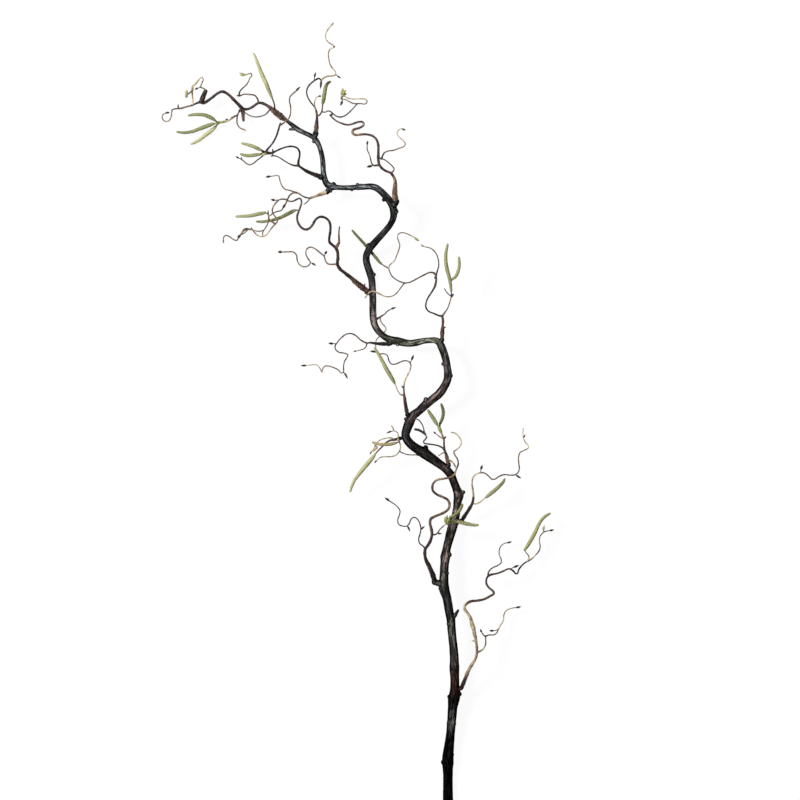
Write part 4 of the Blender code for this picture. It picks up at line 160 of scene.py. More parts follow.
# Side sprays. A run is its diameters, spread evenly along it, and its route.
# The first run starts with the thick sleeve that sits on the stem's stub.
# A bud is its foot (x, y), its tip (x, y), its width and the length of its neck.
SPRAYS = {
    "spray_low_right": {"runs": {
        "main": ((4.8, 4.4, 3.2, 3.4, 4.4, 3.4, 3.2, 3.0, 2.8, 2.4), [(17.6, 127.5, 20), (20, 133),
            (23, 141), (26.8, 149.5), (30.3, 155.5), (34, 161.5), (36, 169, 33), (35.8, 178), (34.8, 186),
            (32.8, 196), (30.5, 206, 46), (26, 217), (21.5, 223), (20, 226.5, 52), (22.5, 230.5), (28, 234),
            (36, 234.9), (45, 236.7, 46), (52.5, 240.5), (57.5, 243.8, 38), (56, 246.8), (51, 251),
            (48, 256), (48, 261.5), (50, 265.5, 26)]),
        "right_low": ((2.0, 1.8), [(36, 170), (40, 171.5), (44.3, 174.8), (46.9, 180), (47, 186),
            (46.8, 189.8, 24)]),
        "right_low_left": ((1.6, 1.4), [(46.8, 189.8), (44, 192), (42.3, 194.8, 22)]),
        "right_low_right": ((1.6, 1.5, 1.6), [(46.8, 189.8), (50.5, 191.6), (57.5, 191.9), (61.5, 195),
            (62.3, 197.8, 18)]),
        "right_low_tip": ((1.6, 1.4, 1.4), [(62.3, 197.8), (65.5, 203.5), (69.3, 210, 13), (70, 217),
            (72.5, 221.8), (79, 224.8), (85, 226, 12)]),
        "upper": ((1.8, 1.5, 1.4), [(50, 265.5), (50.3, 269), (52.5, 273), (57, 276.3), (62.5, 278.7, 20),
            (66.3, 282), (66.5, 286), (64.3, 291.5), (64.2, 298, 11), (66.5, 303), (70.5, 306),
            (74, 307, 8)]),
        "right": ((2.4, 2.2, 2.0), [(50, 265.5), (54, 267.2), (62, 268.8), (69, 271.5), (76, 274.4, 22),
            (81, 272.2), (84.5, 268.3), (86.8, 267, 18), (88, 272), (91, 277), (95.5, 281.3),
            (99, 283.5, 17)]),
        "catkin_stalk": ((1.8, 1.5), [(99, 283.5), (101.2, 287.5), (100.6, 291), (98, 294),
            (96.5, 296.5, 22)]),
        "far_right": ((1.8, 1.6, 1.5), [(99, 283.5), (103.5, 285.8), (109.5, 291.5), (114.3, 297.5, 11),
            (115.4, 303), (114.2, 309), (115.5, 315.5), (119.3, 320, 8)]),
        "far_right_tip": ((1.5, 1.3), [(119.3, 320), (124, 321.6), (127, 322, 7)]),
    }, "buds": [(33.5, 184, 29, 184.8, 2.2, 0), (42.3, 194.8, 40.6, 199.5, 2.6, 0),
        (62.3, 197.8, 51.3, 197, 2.8, 5), (85, 226, 91.6, 227.2, 2.8, 0), (74, 307, 80, 308.6, 2.6, 0),
        (77.5, 274, 89, 279, 3, 5), (119.3, 320, 121, 329, 3, 2), (127, 322, 133, 323, 2.6, 0)]},
    "spray_low_left": {"runs": {
        "main": ((6.6, 5.6, 3.8, 3.8, 3.6, 3.4, 3.2, 3.2, 3.0, 2.8, 2.4, 2.0, 1.8, 1.6,
            1.4), [(-16.8, 259.8, 27), (-18.8, 266), (-21, 272), (-24, 278.5), (-27.2, 285), (-29, 292, 40),
            (-28.5, 299), (-25, 304.3), (-21.5, 311), (-20.1, 318, 46), (-21, 325), (-22.6, 332),
            (-21.5, 336.8), (-16.5, 340), (-9, 343, 38), (-2.5, 346.4), (1.3, 350.8), (1.8, 356),
            (-0.8, 361), (-7, 364.3, 34), (-14, 367.5), (-18.7, 371.8), (-19.6, 377.5), (-17.2, 383),
            (-12, 386, 34), (-5, 387.2), (2, 388.6), (7.5, 392, 33), (10, 398), (12.8, 405.5),
            (11.8, 411.5), (8.3, 417), (7.3, 420.8, 24), (10.5, 423.3), (15, 427.5), (16.5, 433), (14, 439),
            (8.5, 444), (3, 445, 18)]),
        "left": ((1.8, 1.6, 1.5, 1.4), [(-28.5, 299), (-31, 302.8), (-35.2, 306), (-36.7, 311.5, 36),
            (-35, 318), (-34, 324), (-35.2, 331), (-38.5, 336.8, 30), (-42.5, 338.8), (-46, 336.5),
            (-48.5, 331), (-51.5, 327.8, 22), (-57, 327.8), (-61.5, 330), (-62.9, 335), (-61, 341, 14),
            (-60, 346.5), (-62.5, 351), (-68, 355.8), (-73, 359, 8)]),
        "front": ((1.7, 1.5), [(-20.1, 318), (-16.5, 317.2), (-13.5, 319), (-10, 324), (-6, 327.8),
            (-1.8, 331, 40)]),
        "front_stalk_up": ((2.6, 3.0), [(-1.8, 331), (0.2, 334.5), (2, 338, 43)]),
        "front_stalk_right": ((2.8, 3.4), [(-1.8, 331), (2, 332.6), (6, 333.8, 36)]),
    }, "buds": [(-34.2, 323, -28.8, 327.8, 2.6, 0), (-51, 327.8, -47.6, 320.6, 2.6, 0),
        (-73, 359, -79.4, 363.3, 3, 0), (-13.6, 318.8, -7.6, 319, 2.4, 0), (-1.8, 331, -3.8, 339.6, 5.0, 0),
        (-1.8, 331, -0.6, 342.2, 4.2, 0)]},
    "spray_mid_right": {"runs": {
        "main": ((4.8, 4.0, 2.6, 1.9, 1.8, 1.7, 1.6, 1.6, 1.5, 1.4, 1.3), [(17.8, 335.5, 12), (21, 340.5),
            (24.5, 346), (27.8, 351.3), (30.3, 356.3, 24), (31.6, 362.5), (31.4, 370), (30.4, 377, 38),
            (30, 383), (31.2, 388.8), (35, 392.8), (40, 394.6, 50), (46, 394), (50.5, 390.5), (54.5, 386.7),
            (58.5, 386.7), (63.5, 390, 56), (70, 392.2), (78, 391.6), (84, 392.2), (87.8, 395.6, 52),
            (88.9, 400.5), (88.2, 407), (88, 414), (90, 419.8, 40), (95, 422.5), (100, 425.4),
            (100.2, 428.3), (96.8, 432.3), (94, 438, 30), (93.5, 444.5), (94.2, 450.7, 26)]),
        "catkin_stalk": ((1.8, 1.6), [(30.3, 356.3), (34, 355.6), (38.5, 356.8), (42.8, 360.2),
            (46.5, 363, 27)]),
    }, "buds": [(41, 394.6, 43, 404.5, 3.2, 4), (84, 392, 91.4, 387.5, 2.8, 1),
        (94, 438, 96.5, 443, 2.0, 0)]},
    "spray_middle": {"runs": {
        "main": ((5.0, 4.4, 3.0, 2.4, 2.4, 2.2), [(0.2, 405.8, 29), (-1.2, 412), (-2.6, 418),
            (-4.2, 422.5, 33), (-5, 429), (-5.3, 436, 38), (-6.8, 440), (-8.3, 444.3, 42)]),
        "bract": ((2.2, 3.6, 3.0), [(-8.3, 444.3), (-10.3, 448.8), (-12.8, 453.4, 43)]),
        "bract_low": ((2.0, 2.2), [(-10.3, 448.8), (-10.4, 451.4), (-10.2, 454, 36)]),
        "left_up": ((1.6, 1.3), [(-5.3, 436.5), (-9.3, 438.7), (-13, 441.5, 40), (-15, 443.2)]),
        "to_stem": ((1.5, 1.3), [(-4.2, 421), (-8, 418.2), (-12.5, 415.6, 40)]),
        "side": ((2.0, 1.8, 1.7), [(-4.2, 422), (-7.5, 426), (-13, 428.5), (-20, 429.8, 38), (-26, 430.6),
            (-30.5, 431.6, 43), (-31.3, 433.3), (-28.8, 435.8), (-26.8, 438.8), (-28, 442, 40)]),
        "side_thick": ((1.8, 3.2, 3.2), [(-28, 442), (-33, 446), (-37, 448), (-42.5, 449, 36)]),
        "side_thin": ((1.6, 1.5, 1.4), [(-28, 442), (-29.8, 446), (-30.8, 451), (-33.3, 456.5),
            (-37, 460.5, 38), (-41, 461.7), (-46, 460.5, 37), (-50, 458.5), (-54, 457, 35)]),
        "short_dark": ((2.2, 1.8), [(-0.6, 409.8), (3.6, 409.2, 33), (7.4, 405.6, 34.5), (9.6, 401, 35)]),
    }, "buds": [(-15, 443.2, -18.5, 446, 2.2, 0), (-5.3, 436.5, -2.4, 440.5, 2.6, 0)]},
    "spray_left_cluster": {"runs": {
        "main": ((3.6, 3.0, 2.2, 2.0, 1.8), [(-60.8, 437.2, 31.5), (-67, 435.9), (-73, 434.6),
            (-78, 431.5, 36), (-82, 427.3), (-86.5, 423), (-90, 419, 38)]),
        "upper_arc": ((1.7, 1.4), [(-66, 436), (-72, 438.2, 37), (-79, 437.4), (-84, 435.8),
            (-87.5, 433.5, 38), (-90, 429.5), (-92.5, 425), (-95.5, 421.5, 37)]),
        "catkin_stalk": ((1.8, 1.7), [(-63.5, 436.7), (-61.4, 435.3, 35), (-61.6, 433.2),
            (-64, 432.2, 42)]),
        "left_up": ((1.7, 1.5), [(-63, 436.9), (-62.2, 441), (-63.5, 444.8), (-67.5, 447, 36)]),
        "loop": ((1.8, 1.6, 1.5, 1.4), [(-63.2, 436.8), (-60.6, 432.5, 27), (-59.4, 427), (-60.8, 421.3),
            (-64.5, 416.9), (-70, 414.8, 24), (-78, 414.5), (-84.5, 413.7), (-89, 410, 20)]),
        "under_loop": ((1.5, 1.4), [(-60.8, 421.3), (-57, 419.3, 22), (-51, 417.3), (-44, 416.7, 18),
            (-38.5, 417, 15)]),
    }, "buds": [(-67.5, 447, -71.6, 454.6, 2.0, 0), (-67.5, 447, -77.3, 443.6, 2.4, 3),
        (-89, 410, -92.5, 406.5, 2.2, 0), (-95.5, 421.5, -98, 417.5, 2, 0)]},
    "spray_mid_left": {"runs": {
        "main": ((4.8, 4.2, 2.2, 1.9, 1.7, 1.6, 1.6, 1.5, 1.4), [(-50.9, 468.6, 29), (-52.2, 474),
            (-53.2, 480), (-54, 486.5), (-54.7, 491, 34), (-55.2, 498), (-55, 504.5), (-53.4, 511, 40),
            (-50.2, 517.5), (-47.2, 524), (-46.6, 530), (-49.5, 533.6, 40), (-55, 534.4), (-60.5, 532.4),
            (-66, 530.2), (-71, 530.5, 33), (-74, 535), (-75.8, 541), (-80, 543.2), (-86, 543, 26),
            (-90.5, 545.2)]),
        "catkin_stalk": ((1.7, 1.6), [(-54.7, 491), (-59, 492.2), (-62.4, 496), (-64.5, 501),
            (-66.3, 505.3, 38)]),
    }, "buds": [(-90.5, 545.2, -98, 546.3, 2.8, 0), (-47, 531.4, -42.8, 542, 3, 4),
        (-55.2, 500, -58.5, 504, 1.8, 0)]},
    "spray_right_loops": {"runs": {
        "main": ((4.6, 5.0, 4.8, 3.2, 3.0, 3.2), [(-7.4, 562.8, 32), (-7.2, 568), (-6.9, 574), (-6.5, 580),
            (-6.4, 585.5), (-7.3, 590, 40)]),
        "left": ((2.2, 2.0, 2.0, 2.0, 2.8, 2.6), [(-7.3, 590), (-12, 591), (-18, 593.6), (-24, 596),
            (-27.4, 600.5, 44), (-27.6, 606), (-25, 613), (-20.5, 620), (-16.8, 626.5, 50), (-15.1, 633),
            (-15, 641, 52)]),
        "left_loop": ((2.2, 1.8, 1.6), [(-15, 641), (-18, 644), (-23, 644.6), (-29, 642), (-36, 638.4, 50),
            (-43, 634.6), (-49, 632), (-54.5, 631.4, 44)]),
        "left_upper": ((1.6, 1.5), [(-54.5, 631.4), (-60, 633.2), (-66, 636.6), (-70.3, 640.5), (-73, 646),
            (-74.5, 650.3, 34)]),
        "catkin_stalk": ((1.6, 1.5), [(-74.5, 650.3), (-78, 652), (-82, 654.6, 27)]),
        "small_catkin_arm": ((1.5, 1.4, 1.3), [(-74.5, 650.3), (-73.3, 653.3), (-70, 656.8), (-66.7, 659.8),
            (-64.5, 665), (-61.8, 672), (-60.3, 678.5, 46), (-61.8, 684), (-63.2, 689), (-61.7, 693),
            (-57, 694.4), (-51, 692.9), (-45, 690, 38), (-42, 688.3)]),
        "over_stem": ((1.5, 1.4, 1.4, 2.0, 1.8), [(-54.5, 631.4), (-58.5, 626.3), (-63, 620.3, 32),
            (-68, 616), (-74, 614.4), (-80, 615.3, 20), (-86, 618.4), (-92, 620.9, 16), (-97, 620.5),
            (-100.5, 617.5, 16), (-104, 612.5, 14)]),
        "over_stem_fork": ((1.7, 1.5), [(-100.3, 617.7), (-104.8, 619.3, 16)]),
        "right_up": ((1.8, 1.5, 1.4), [(-15, 641), (-13.7, 645.5), (-12, 651), (-11.7, 657, 60),
            (-13, 663.5), (-15.8, 669.3), (-20, 673.7), (-25, 675.9), (-28.5, 676.4, 56)]),
        "right": ((2.0, 1.4, 1.6), [(-7.3, 590), (-4.5, 594), (-1, 599), (1.4, 605), (3, 610.5),
            (4, 614.5, 48)]),
        "right_twig": ((1.4, 1.2), [(4, 614.5), (0.5, 617.5), (-2.3, 620.8), (-5, 625, 53)]),
        "pair_stalk": ((1.7, 1.6), [(4, 614.5), (4.3, 617), (4.1, 620, 50)]),
    }, "buds": [(-42, 688.3, -35.4, 683.6, 3, 0), (-28.5, 676.4, -34.4, 679.6, 2.4, 2),
        (3.6, 613.3, 7.6, 618.2, 2.8, 0), (-6.6, 575, -2.4, 577, 2.4, 0), (-15, 637, -17.6, 639, 3, 0)]},
    "spray_far_left_low": {"runs": {
        "main": ((4.8, 4.4, 3.0, 1.9), [(-75.5, 555.6, 14), (-82, 555.5), (-90, 556), (-97, 557),
            (-101.3, 556.4, 18)]),
        "upper": ((1.8, 1.7, 1.6, 1.5, 1.4), [(-101.3, 556.4), (-105.5, 558.2), (-110, 561), (-115, 565.7),
            (-121, 568.4, 26), (-127.5, 567.5), (-133.5, 563), (-138, 557.8), (-141, 553, 22),
            (-140.6, 548.8), (-136.5, 545.2), (-130, 544), (-125.3, 542, 14), (-126.2, 538.8),
            (-129.2, 534), (-130.6, 528), (-131, 520, 5), (-134, 519.4), (-137, 522.9), (-143, 526),
            (-150, 528, 4), (-154, 527.8), (-157, 523.5), (-157.7, 519.5, 3)]),
        "tip": ((1.2, 1.3), [(-157.7, 519.5), (-160.5, 525.4), (-164, 529), (-170, 529.4),
            (-177, 528.6, 7)]),
        "lower": ((1.5, 1.3), [(-101.3, 556.4), (-102.6, 552), (-105.5, 549.3), (-111, 547.6),
            (-114, 546.8, 14)]),
    }, "buds": [(-139.6, 556.2, -149.8, 556.6, 3, 4), (-131, 520.5, -125.4, 511.4, 2.6, 1),
        (-177, 528.6, -184.6, 528.3, 2.6, 0), (-114, 546.8, -118.5, 545.6, 2, 0)]},
    "spray_left_coil": {"runs": {
        "main": ((6.4, 7.2, 5.0, 4.0, 4.0, 3.8, 3.8, 3.2, 3.1, 3.0, 3.0, 3.0, 3.0, 2.8, 2.6, 2.3, 2.1, 2.0,
            1.9), [(-100.6, 621.6, 7), (-105, 624.5), (-109.5, 628), (-115, 632.5, 12), (-121, 638),
            (-128, 643.6), (-135, 649.2), (-138.1, 655, 24), (-137.6, 663), (-138, 670),
            (-140.2, 675.3, 32), (-144, 678.7), (-148, 682.5), (-148.3, 688), (-147.1, 696, 38),
            (-147, 704), (-149.5, 710), (-155, 713.7), (-160.5, 714, 42), (-165.5, 710.5), (-169.3, 704),
            (-173.5, 699.6), (-178.5, 698.4, 40), (-183.5, 701), (-187.3, 707), (-188.6, 714, 38),
            (-186.6, 720.5), (-184.3, 727), (-183, 733, 38), (-184.8, 737.4), (-189, 736), (-194, 733.6),
            (-198.5, 733.8, 36), (-203, 736), (-208, 736.3), (-212, 735.2, 35)]),
        "sheath": ((2.8, 3.6, 2.2, 1.9, 1.7), [(-140.2, 675.3), (-138, 678.5), (-136.2, 682.5, 38),
            (-136.3, 689), (-136.2, 696), (-135.4, 702.5, 46)]),
        "lower": ((2.1, 1.9, 1.8, 1.7, 1.6, 1.7, 1.8), [(-138.1, 655), (-144, 655), (-150, 655.6),
            (-153.2, 659.5, 17), (-154.8, 665), (-160, 669.5), (-166.5, 674.7), (-172.5, 676.6, 12),
            (-176.8, 673.8), (-177.8, 668.5), (-175.3, 662.5), (-172.2, 657.6, 8), (-174.5, 653.6),
            (-180, 652), (-185.5, 654.5), (-188.6, 660, 5), (-189.5, 666.5), (-193, 670.3), (-200, 670.8),
            (-207.5, 670.4, 8)]),
        "end_down": ((1.9, 1.8, 1.8), [(-212, 735.2), (-215.7, 731), (-218.8, 726), (-219.5, 720.5, 33),
            (-217, 715.8), (-214, 711.8, 32), (-213.3, 708.3), (-216, 705.3, 30)]),
        "end_left": ((1.8, 1.8), [(-216, 705.3), (-220, 708), (-224.2, 709.7, 31)]),
        "catkin_stalk": ((1.9, 1.8), [(-224.2, 709.7), (-224.1, 714), (-224.6, 717.4), (-227, 718.9, 32)]),
        "end_low": ((1.5, 1.4), [(-224.2, 709.7), (-226, 704), (-228.5, 700), (-231, 697, 22)]),
        "end_low_down": ((1.4, 1.3), [(-231, 697), (-231.8, 693.5), (-231.4, 690, 17)]),
        "end_low_left": ((1.4, 1.4), [(-231, 697), (-236.5, 696.3), (-241, 697), (-244.5, 698.3, 14)]),
        "lower_arc": ((1.8, 1.5, 1.6), [(-216, 705.3), (-219.5, 701.5), (-224, 695.7), (-228.3, 690.8, 18),
            (-234, 689.6), (-239.5, 692.3), (-244.5, 698.3, 14)]),
        "far_tip": ((1.8, 3.2, 1.6, 1.5, 1.5, 1.7), [(-244.5, 698.3), (-249, 699), (-253.5, 699, 12),
            (-257.3, 695.6), (-259.6, 691.6), (-262.3, 687.5, 8), (-264.5, 685), (-268.5, 686.2),
            (-273, 689.6), (-277.5, 691.2, 12), (-280.3, 689.5), (-280.9, 685.5), (-280.7, 681.5, 15)]),
        "far_second": ((1.4, 1.3), [(-250, 698.6), (-254.2, 694.6, 8), (-259, 691.4, 9.5)]),
        "low_catkin_stalk": ((1.8, 1.7), [(-186.2, 721.6), (-187.6, 722.3, 37), (-189.5, 722.4, 36)]),
    }, "buds": [(-154.6, 665, -151, 672, 3.2, 3), (-172.2, 657.6, -164.8, 653.5, 2.6, 2),
        (-207.5, 670.4, -213, 670.4, 3.6, 0), (-106, 626, -103.6, 632, 2.4, 0),
        (-212, 735.2, -221.6, 735.8, 3.2, 4), (-224.5, 717, -224.4, 723, 1.8, 0),
        (-259.6, 691.6, -263.4, 688.4, 3.8, 0), (-246, 698.5, -245.8, 702, 1.5, 0)]},
    "spray_short_left": {"runs": {
        "main": ((2.6, 1.8, 1.5), [(-87.4, 587.8, 7), (-84, 589.8), (-79.5, 592.7), (-75.5, 596.6),
            (-71.5, 599, 16)]),
        "under_stem": ((1.5, 1.4, 1.3), [(-84.8, 589.3), (-84.6, 585.5, 6), (-82.3, 581), (-79, 577.5, 3),
            (-77.6, 574), (-79.5, 570.3, 1.5), (-83, 567.3, 1.3), (-86.5, 564.2, 1.6), (-89.4, 561, 3),
            (-90.4, 557), (-90.4, 551.5, 7), (-89, 546.5, 9)]),
    }, "buds": [(-71.5, 599, -64.8, 601.2, 2.8, 0)]},
    "spray_upper_right": {"runs": {
        "main": ((6.6, 6.8, 4.6, 3.4, 3.0, 3.2, 3.6, 3.4, 3.1, 2.8, 2.8, 3.0, 3.2, 3.0, 2.7, 2.6, 2.4, 2.2,
            2.0, 1.8), [(-65.3, 734.8, 46.5), (-66.2, 740), (-66.6, 746), (-66, 753), (-66.1, 759, 52),
            (-68.2, 764.5), (-71.5, 768.6, 54), (-77, 770.9), (-82.3, 774.4), (-86, 779.5), (-87, 786, 56),
            (-87, 795), (-87.2, 804), (-89.6, 810.7, 54), (-94.5, 815), (-101, 816.8), (-108, 817),
            (-115, 816.2), (-119.8, 818.4), (-119.8, 822, 48), (-115.6, 823.8), (-110.5, 825.2),
            (-105.5, 828.6), (-106.2, 832.3, 44), (-112, 832.6), (-118.5, 830.4), (-125, 829),
            (-132, 830.6, 40), (-139, 833.6), (-144.5, 838), (-148.3, 842.2, 36)]),
        "loop": ((1.7, 1.5, 1.6), [(-71.5, 768.6), (-68.6, 770.7), (-67.4, 773.7, 60), (-69.8, 777.5),
            (-74.5, 781.7), (-79.5, 785.2), (-83, 786.4, 60), (-86.8, 787.2, 56.5)]),
        "right_up": ((1.9, 1.6, 1.5, 1.4), [(-83, 786.4), (-81.8, 790), (-79.3, 794), (-74.5, 796),
            (-68, 796.9, 66), (-61.5, 799.2), (-55.8, 801.3), (-53.4, 804.4, 70), (-55.6, 808.5),
            (-60, 812.4), (-63.4, 816.5), (-62.8, 820.8, 66), (-59.5, 823.6), (-57.5, 823.8)]),
        "left": ((2.3, 2.1), [(-85.8, 779), (-90, 778), (-93.5, 778, 58)]),
        "left_up": ((1.6, 1.5, 1.4), [(-93.5, 778), (-95.6, 781.5), (-96.9, 787, 62), (-98.3, 792),
            (-100.8, 797.5), (-100.9, 803.5, 66)]),
    }, "buds": [(-57.5, 823.8, -52.6, 821.8, 2.6, 0), (-81.5, 786, -85.8, 787, 3.2, 0),
        (-93.5, 778, -102, 776, 3.4, 1), (-100.9, 803.5, -99.8, 809, 2.6, 0),
        (-146.5, 840, -143.6, 844, 3, 0)]},
    "spray_tan_left": {"runs": {
        "main": ((5.6, 4.8, 3.6, 3.0, 2.8), [(-152.4, 745.2, 25.5), (-157.5, 743), (-164, 740.6),
            (-169, 738.8), (-172.5, 737.4, 32)]),
        "upper": ((1.8, 1.9, 1.7, 1.5, 1.4), [(-172.5, 737.4), (-177, 738.2), (-181.5, 740),
            (-186, 743, 44), (-191, 745), (-198, 747.2), (-203.6, 748.6, 47), (-207.2, 752.5),
            (-209.8, 759), (-211.4, 765, 44), (-214.3, 765.7), (-221.5, 764.6, 40)]),
        "second": ((1.9, 2.0, 1.9, 1.5, 1.6, 1.3), [(-189, 744.3), (-193, 744), (-197.2, 741.5),
            (-200, 737, 46), (-202.3, 731.5), (-205.3, 726), (-208.7, 722, 42), (-214, 720.6),
            (-219, 718.3, 40), (-222.8, 714.8, 40)]),
        "lower": ((1.5, 1.3), [(-172.5, 737.4), (-176.5, 732.4), (-180.5, 729.6, 30)]),
    }, "buds": [(-221.5, 764.6, -228.2, 763.2, 3, 0), (-203.2, 730, -207, 723.6, 3.2, 0)]},
    "spray_upper_left": {"runs": {
        "main": ((5.8, 5.0, 4.6, 4.0, 3.2, 2.8), [(-160.8, 764.8, 30), (-166, 766.8), (-172, 769),
            (-178, 772), (-183.5, 775.7), (-187, 778.2, 40)]),
        "up": ((2.7, 2.4, 2.4, 2.3, 2.2, 2.1, 2.2, 3.0, 4.4), [(-187, 778.2), (-186.8, 783.5),
            (-185.5, 789), (-185.3, 794.5), (-188, 799.6), (-193.5, 801.8), (-201, 801.4, 52),
            (-208, 799.2), (-215, 796), (-220, 793.6), (-225, 793.7), (-229.5, 793.9, 50)]),
        "left": ((2.4, 1.6, 1.5, 1.8), [(-187, 778.2), (-191.5, 778.1), (-197, 779.9), (-204, 783.8),
            (-211, 788.3), (-216.5, 790.3), (-221.5, 789.9, 44)]),
        "cross_link": ((1.6, 1.5), [(-218.6, 794.2), (-219.4, 790.3, 44.5)]),
        "to_leader": ((2.6, 2.1, 2.3, 2.5, 2.2), [(-228, 794), (-225.2, 798.6), (-221.7, 802.6),
            (-217.8, 808, 46), (-214.6, 814.5), (-212.4, 821), (-210.6, 827.3, 36), (-209.3, 832, 33)]),
        "top_twig": ((1.8, 1.6, 1.6, 1.6, 2.0), [(-210.3, 828.5), (-206, 831, 34), (-202.5, 833.8),
            (-199, 837.2, 34), (-196.8, 843), (-196.6, 851, 42), (-198, 859), (-197.2, 864),
            (-193, 868.4, 50), (-190, 870.7)]),
        "stalk_up": ((3.0, 2.4), [(-229, 794), (-230.6, 795.4), (-232.2, 796.5, 54)]),
        "stalk_low": ((3.0, 2.4), [(-229, 794), (-231, 793.2), (-233.2, 792.6, 46.5)]),
        "low_tip": ((1.9, 1.7, 1.6), [(-229, 793.4), (-232, 789.8, 43), (-238, 785.2), (-243.5, 780.8, 36),
            (-248, 779.2), (-252.5, 781.3), (-257, 785.3), (-261, 787.7, 32)]),
    }, "buds": [(-218.4, 794.3, -219.3, 799.6, 2.2, 0), (-190, 870.7, -184, 876.6, 2.8, 0),
        (-261, 787.7, -265.4, 790, 2.4, 0), (-258.2, 786.2, -257.6, 789.6, 1.5, 0),
        (-226, 793.8, -233, 790.6, 4.4, 0)]},
    "spray_top": {"runs": {
        "main": ((5.8, 5.6, 4.6, 3.2, 2.4), [(-165.2, 819.6, 32), (-164.6, 825), (-164.1, 831),
            (-163.7, 837), (-163.9, 842.5, 42)]),
        "left_arc": ((2.3, 1.8, 1.7, 1.9, 2.1, 2.1), [(-163.9, 842.5), (-164.8, 847), (-167.3, 851.8),
            (-171.8, 857.6, 50), (-175.3, 863.8), (-176.5, 870, 56), (-174.8, 876), (-170.5, 881),
            (-165, 885, 60), (-161, 886.6), (-158.5, 884.4, 58)]),
        "highest": ((2.1, 2.2, 1.7, 1.6, 1.5, 1.6, 1.4, 1.5, 1.4), [(-158.5, 884.4), (-155.4, 887.4),
            (-151, 889.3), (-145.5, 890.1, 52), (-141, 891.2), (-140.6, 894.6, 50), (-144, 899.2),
            (-147.2, 904), (-148.8, 911, 54), (-149.3, 918), (-147.5, 923), (-142.6, 925.6, 60),
            (-143.5, 928), (-148.5, 931), (-152.4, 935.5), (-152.9, 941, 64), (-150.3, 947),
            (-146.8, 951.8, 62)]),
        "right": ((1.9, 1.6, 1.6, 1.9, 1.8, 1.5, 1.5, 1.5, 1.4, 1.4, 1.7), [(-163.8, 839.5),
            (-160.3, 841.3), (-157.7, 844.7, 46), (-153, 844.8), (-149.7, 846.3, 48), (-146, 845),
            (-142.7, 842), (-138.5, 839.3, 50), (-133, 838.7), (-127.5, 841), (-121.5, 846.2, 54),
            (-116, 852), (-113, 855), (-109, 855.3), (-104.6, 854.7, 56), (-101.5, 856.2), (-101.5, 859.4),
            (-104.6, 861), (-112, 861.3), (-120, 861.2, 52), (-126, 862.6), (-129, 864.4, 50)]),
        "right_second": ((1.5, 1.4), [(-113, 855), (-118, 855.4), (-123, 857.8), (-128, 860.3),
            (-131.6, 861.2, 47)]),
        "catkin_stalk": ((1.7, 1.6), [(-157.7, 844.7), (-157.1, 849), (-156.6, 854, 44)]),
        "small_loop": ((1.6, 1.5), [(-165.4, 848.4), (-166.4, 852.5), (-166.6, 858, 54), (-164.3, 862.8),
            (-161.6, 864.6, 56)]),
    }, "buds": [(-158.5, 884.6, -159.5, 873, 3, 0), (-166.6, 884, -164.8, 894.6, 2.6, 4),
        (-142.8, 925.4, -141, 927, 2.6, 0), (-140.6, 892.4, -133.6, 887, 2.2, 3),
        (-146.8, 951.8, -142.6, 956.6, 2.6, 0), (-161.6, 864.6, -158, 864.4, 2.6, 0),
        (-131.6, 861, -134.6, 852.6, 3.2, 2), (-131.6, 861.2, -134.4, 861.8, 1.8, 0)]},
    "leader_spray": {"runs": {
        "main": ((4.6, 7.2, 7.8, 5.2, 3.8, 3.4, 3.2, 3.0, 3.6, 4.4, 3.9, 3.6, 3.5, 3.4, 3.3, 3.3, 4.0, 3.6,
            2.3, 2.3, 2.2, 1.9, 1.7), [(-203, 835.5, 21.8), (-206, 837.6), (-210, 840.4), (-214.5, 844),
            (-218.5, 847.7), (-222.3, 850.8, 24), (-227, 854), (-232, 856.4), (-237, 856.6), (-242, 853.5),
            (-247, 850.3), (-252, 848.9, 19), (-257, 850), (-262, 854.8), (-267.5, 860.5), (-273, 866),
            (-278.5, 869.8), (-283, 870.8, 24), (-288.5, 868.3), (-294.5, 863.7), (-300.5, 859.3),
            (-305.5, 856.8), (-310.5, 857.5, 22), (-315, 856), (-320, 853.8), (-327, 852), (-334, 850),
            (-340, 849.6), (-345, 848.6, 16)]),
        "blunt_end": ((4.6, 5.0, 5.4, 4.4), [(-308, 857.2), (-306.5, 863), (-303.8, 869.5),
            (-301.6, 873.5, 28)]),
        "ring": ((1.6, 1.5), [(-345, 848.6), (-345.6, 844), (-346.3, 839), (-349, 834.8),
            (-353.5, 833.8, 11), (-357, 837), (-357.4, 841), (-354.5, 843.9, 9)]),
        "top_thin": ((1.6, 1.5), [(-302.6, 872.6), (-306, 874.9), (-309.6, 876, 32)]),
        "top_loop": ((1.5, 1.5, 1.6, 2.4, 2.8, 1.6), [(-309.6, 876), (-307.9, 880.4), (-306, 884.9, 36),
            (-306.4, 888), (-309.2, 888), (-312, 884.6), (-315.5, 880.5, 34), (-319, 877.5), (-319.3, 873),
            (-321, 870.7), (-324, 868.3, 28)]),
        "pale_link": ((2.0, 1.9), [(-319.4, 872), (-319.6, 866, 26), (-319, 860), (-319, 854.2)]),
        "lower_loop": ((1.7, 1.5, 1.5), [(-221.2, 850), (-224.3, 846.2, 27), (-228, 842.3),
            (-234, 839.9, 28), (-241, 839.2), (-248, 841, 22), (-255, 845.6, 18)]),
        "upper_loop": ((2.0, 1.9, 1.8, 1.7), [(-237.2, 856.7), (-238.2, 862, 28), (-241.5, 866),
            (-248, 867, 34), (-255, 867.3), (-260.5, 865.2, 36), (-264.5, 866, 37)]),
        "upper_loop_twig": ((1.9, 1.7, 1.5, 1.4), [(-261, 865.4), (-260.3, 870), (-256.8, 874.6),
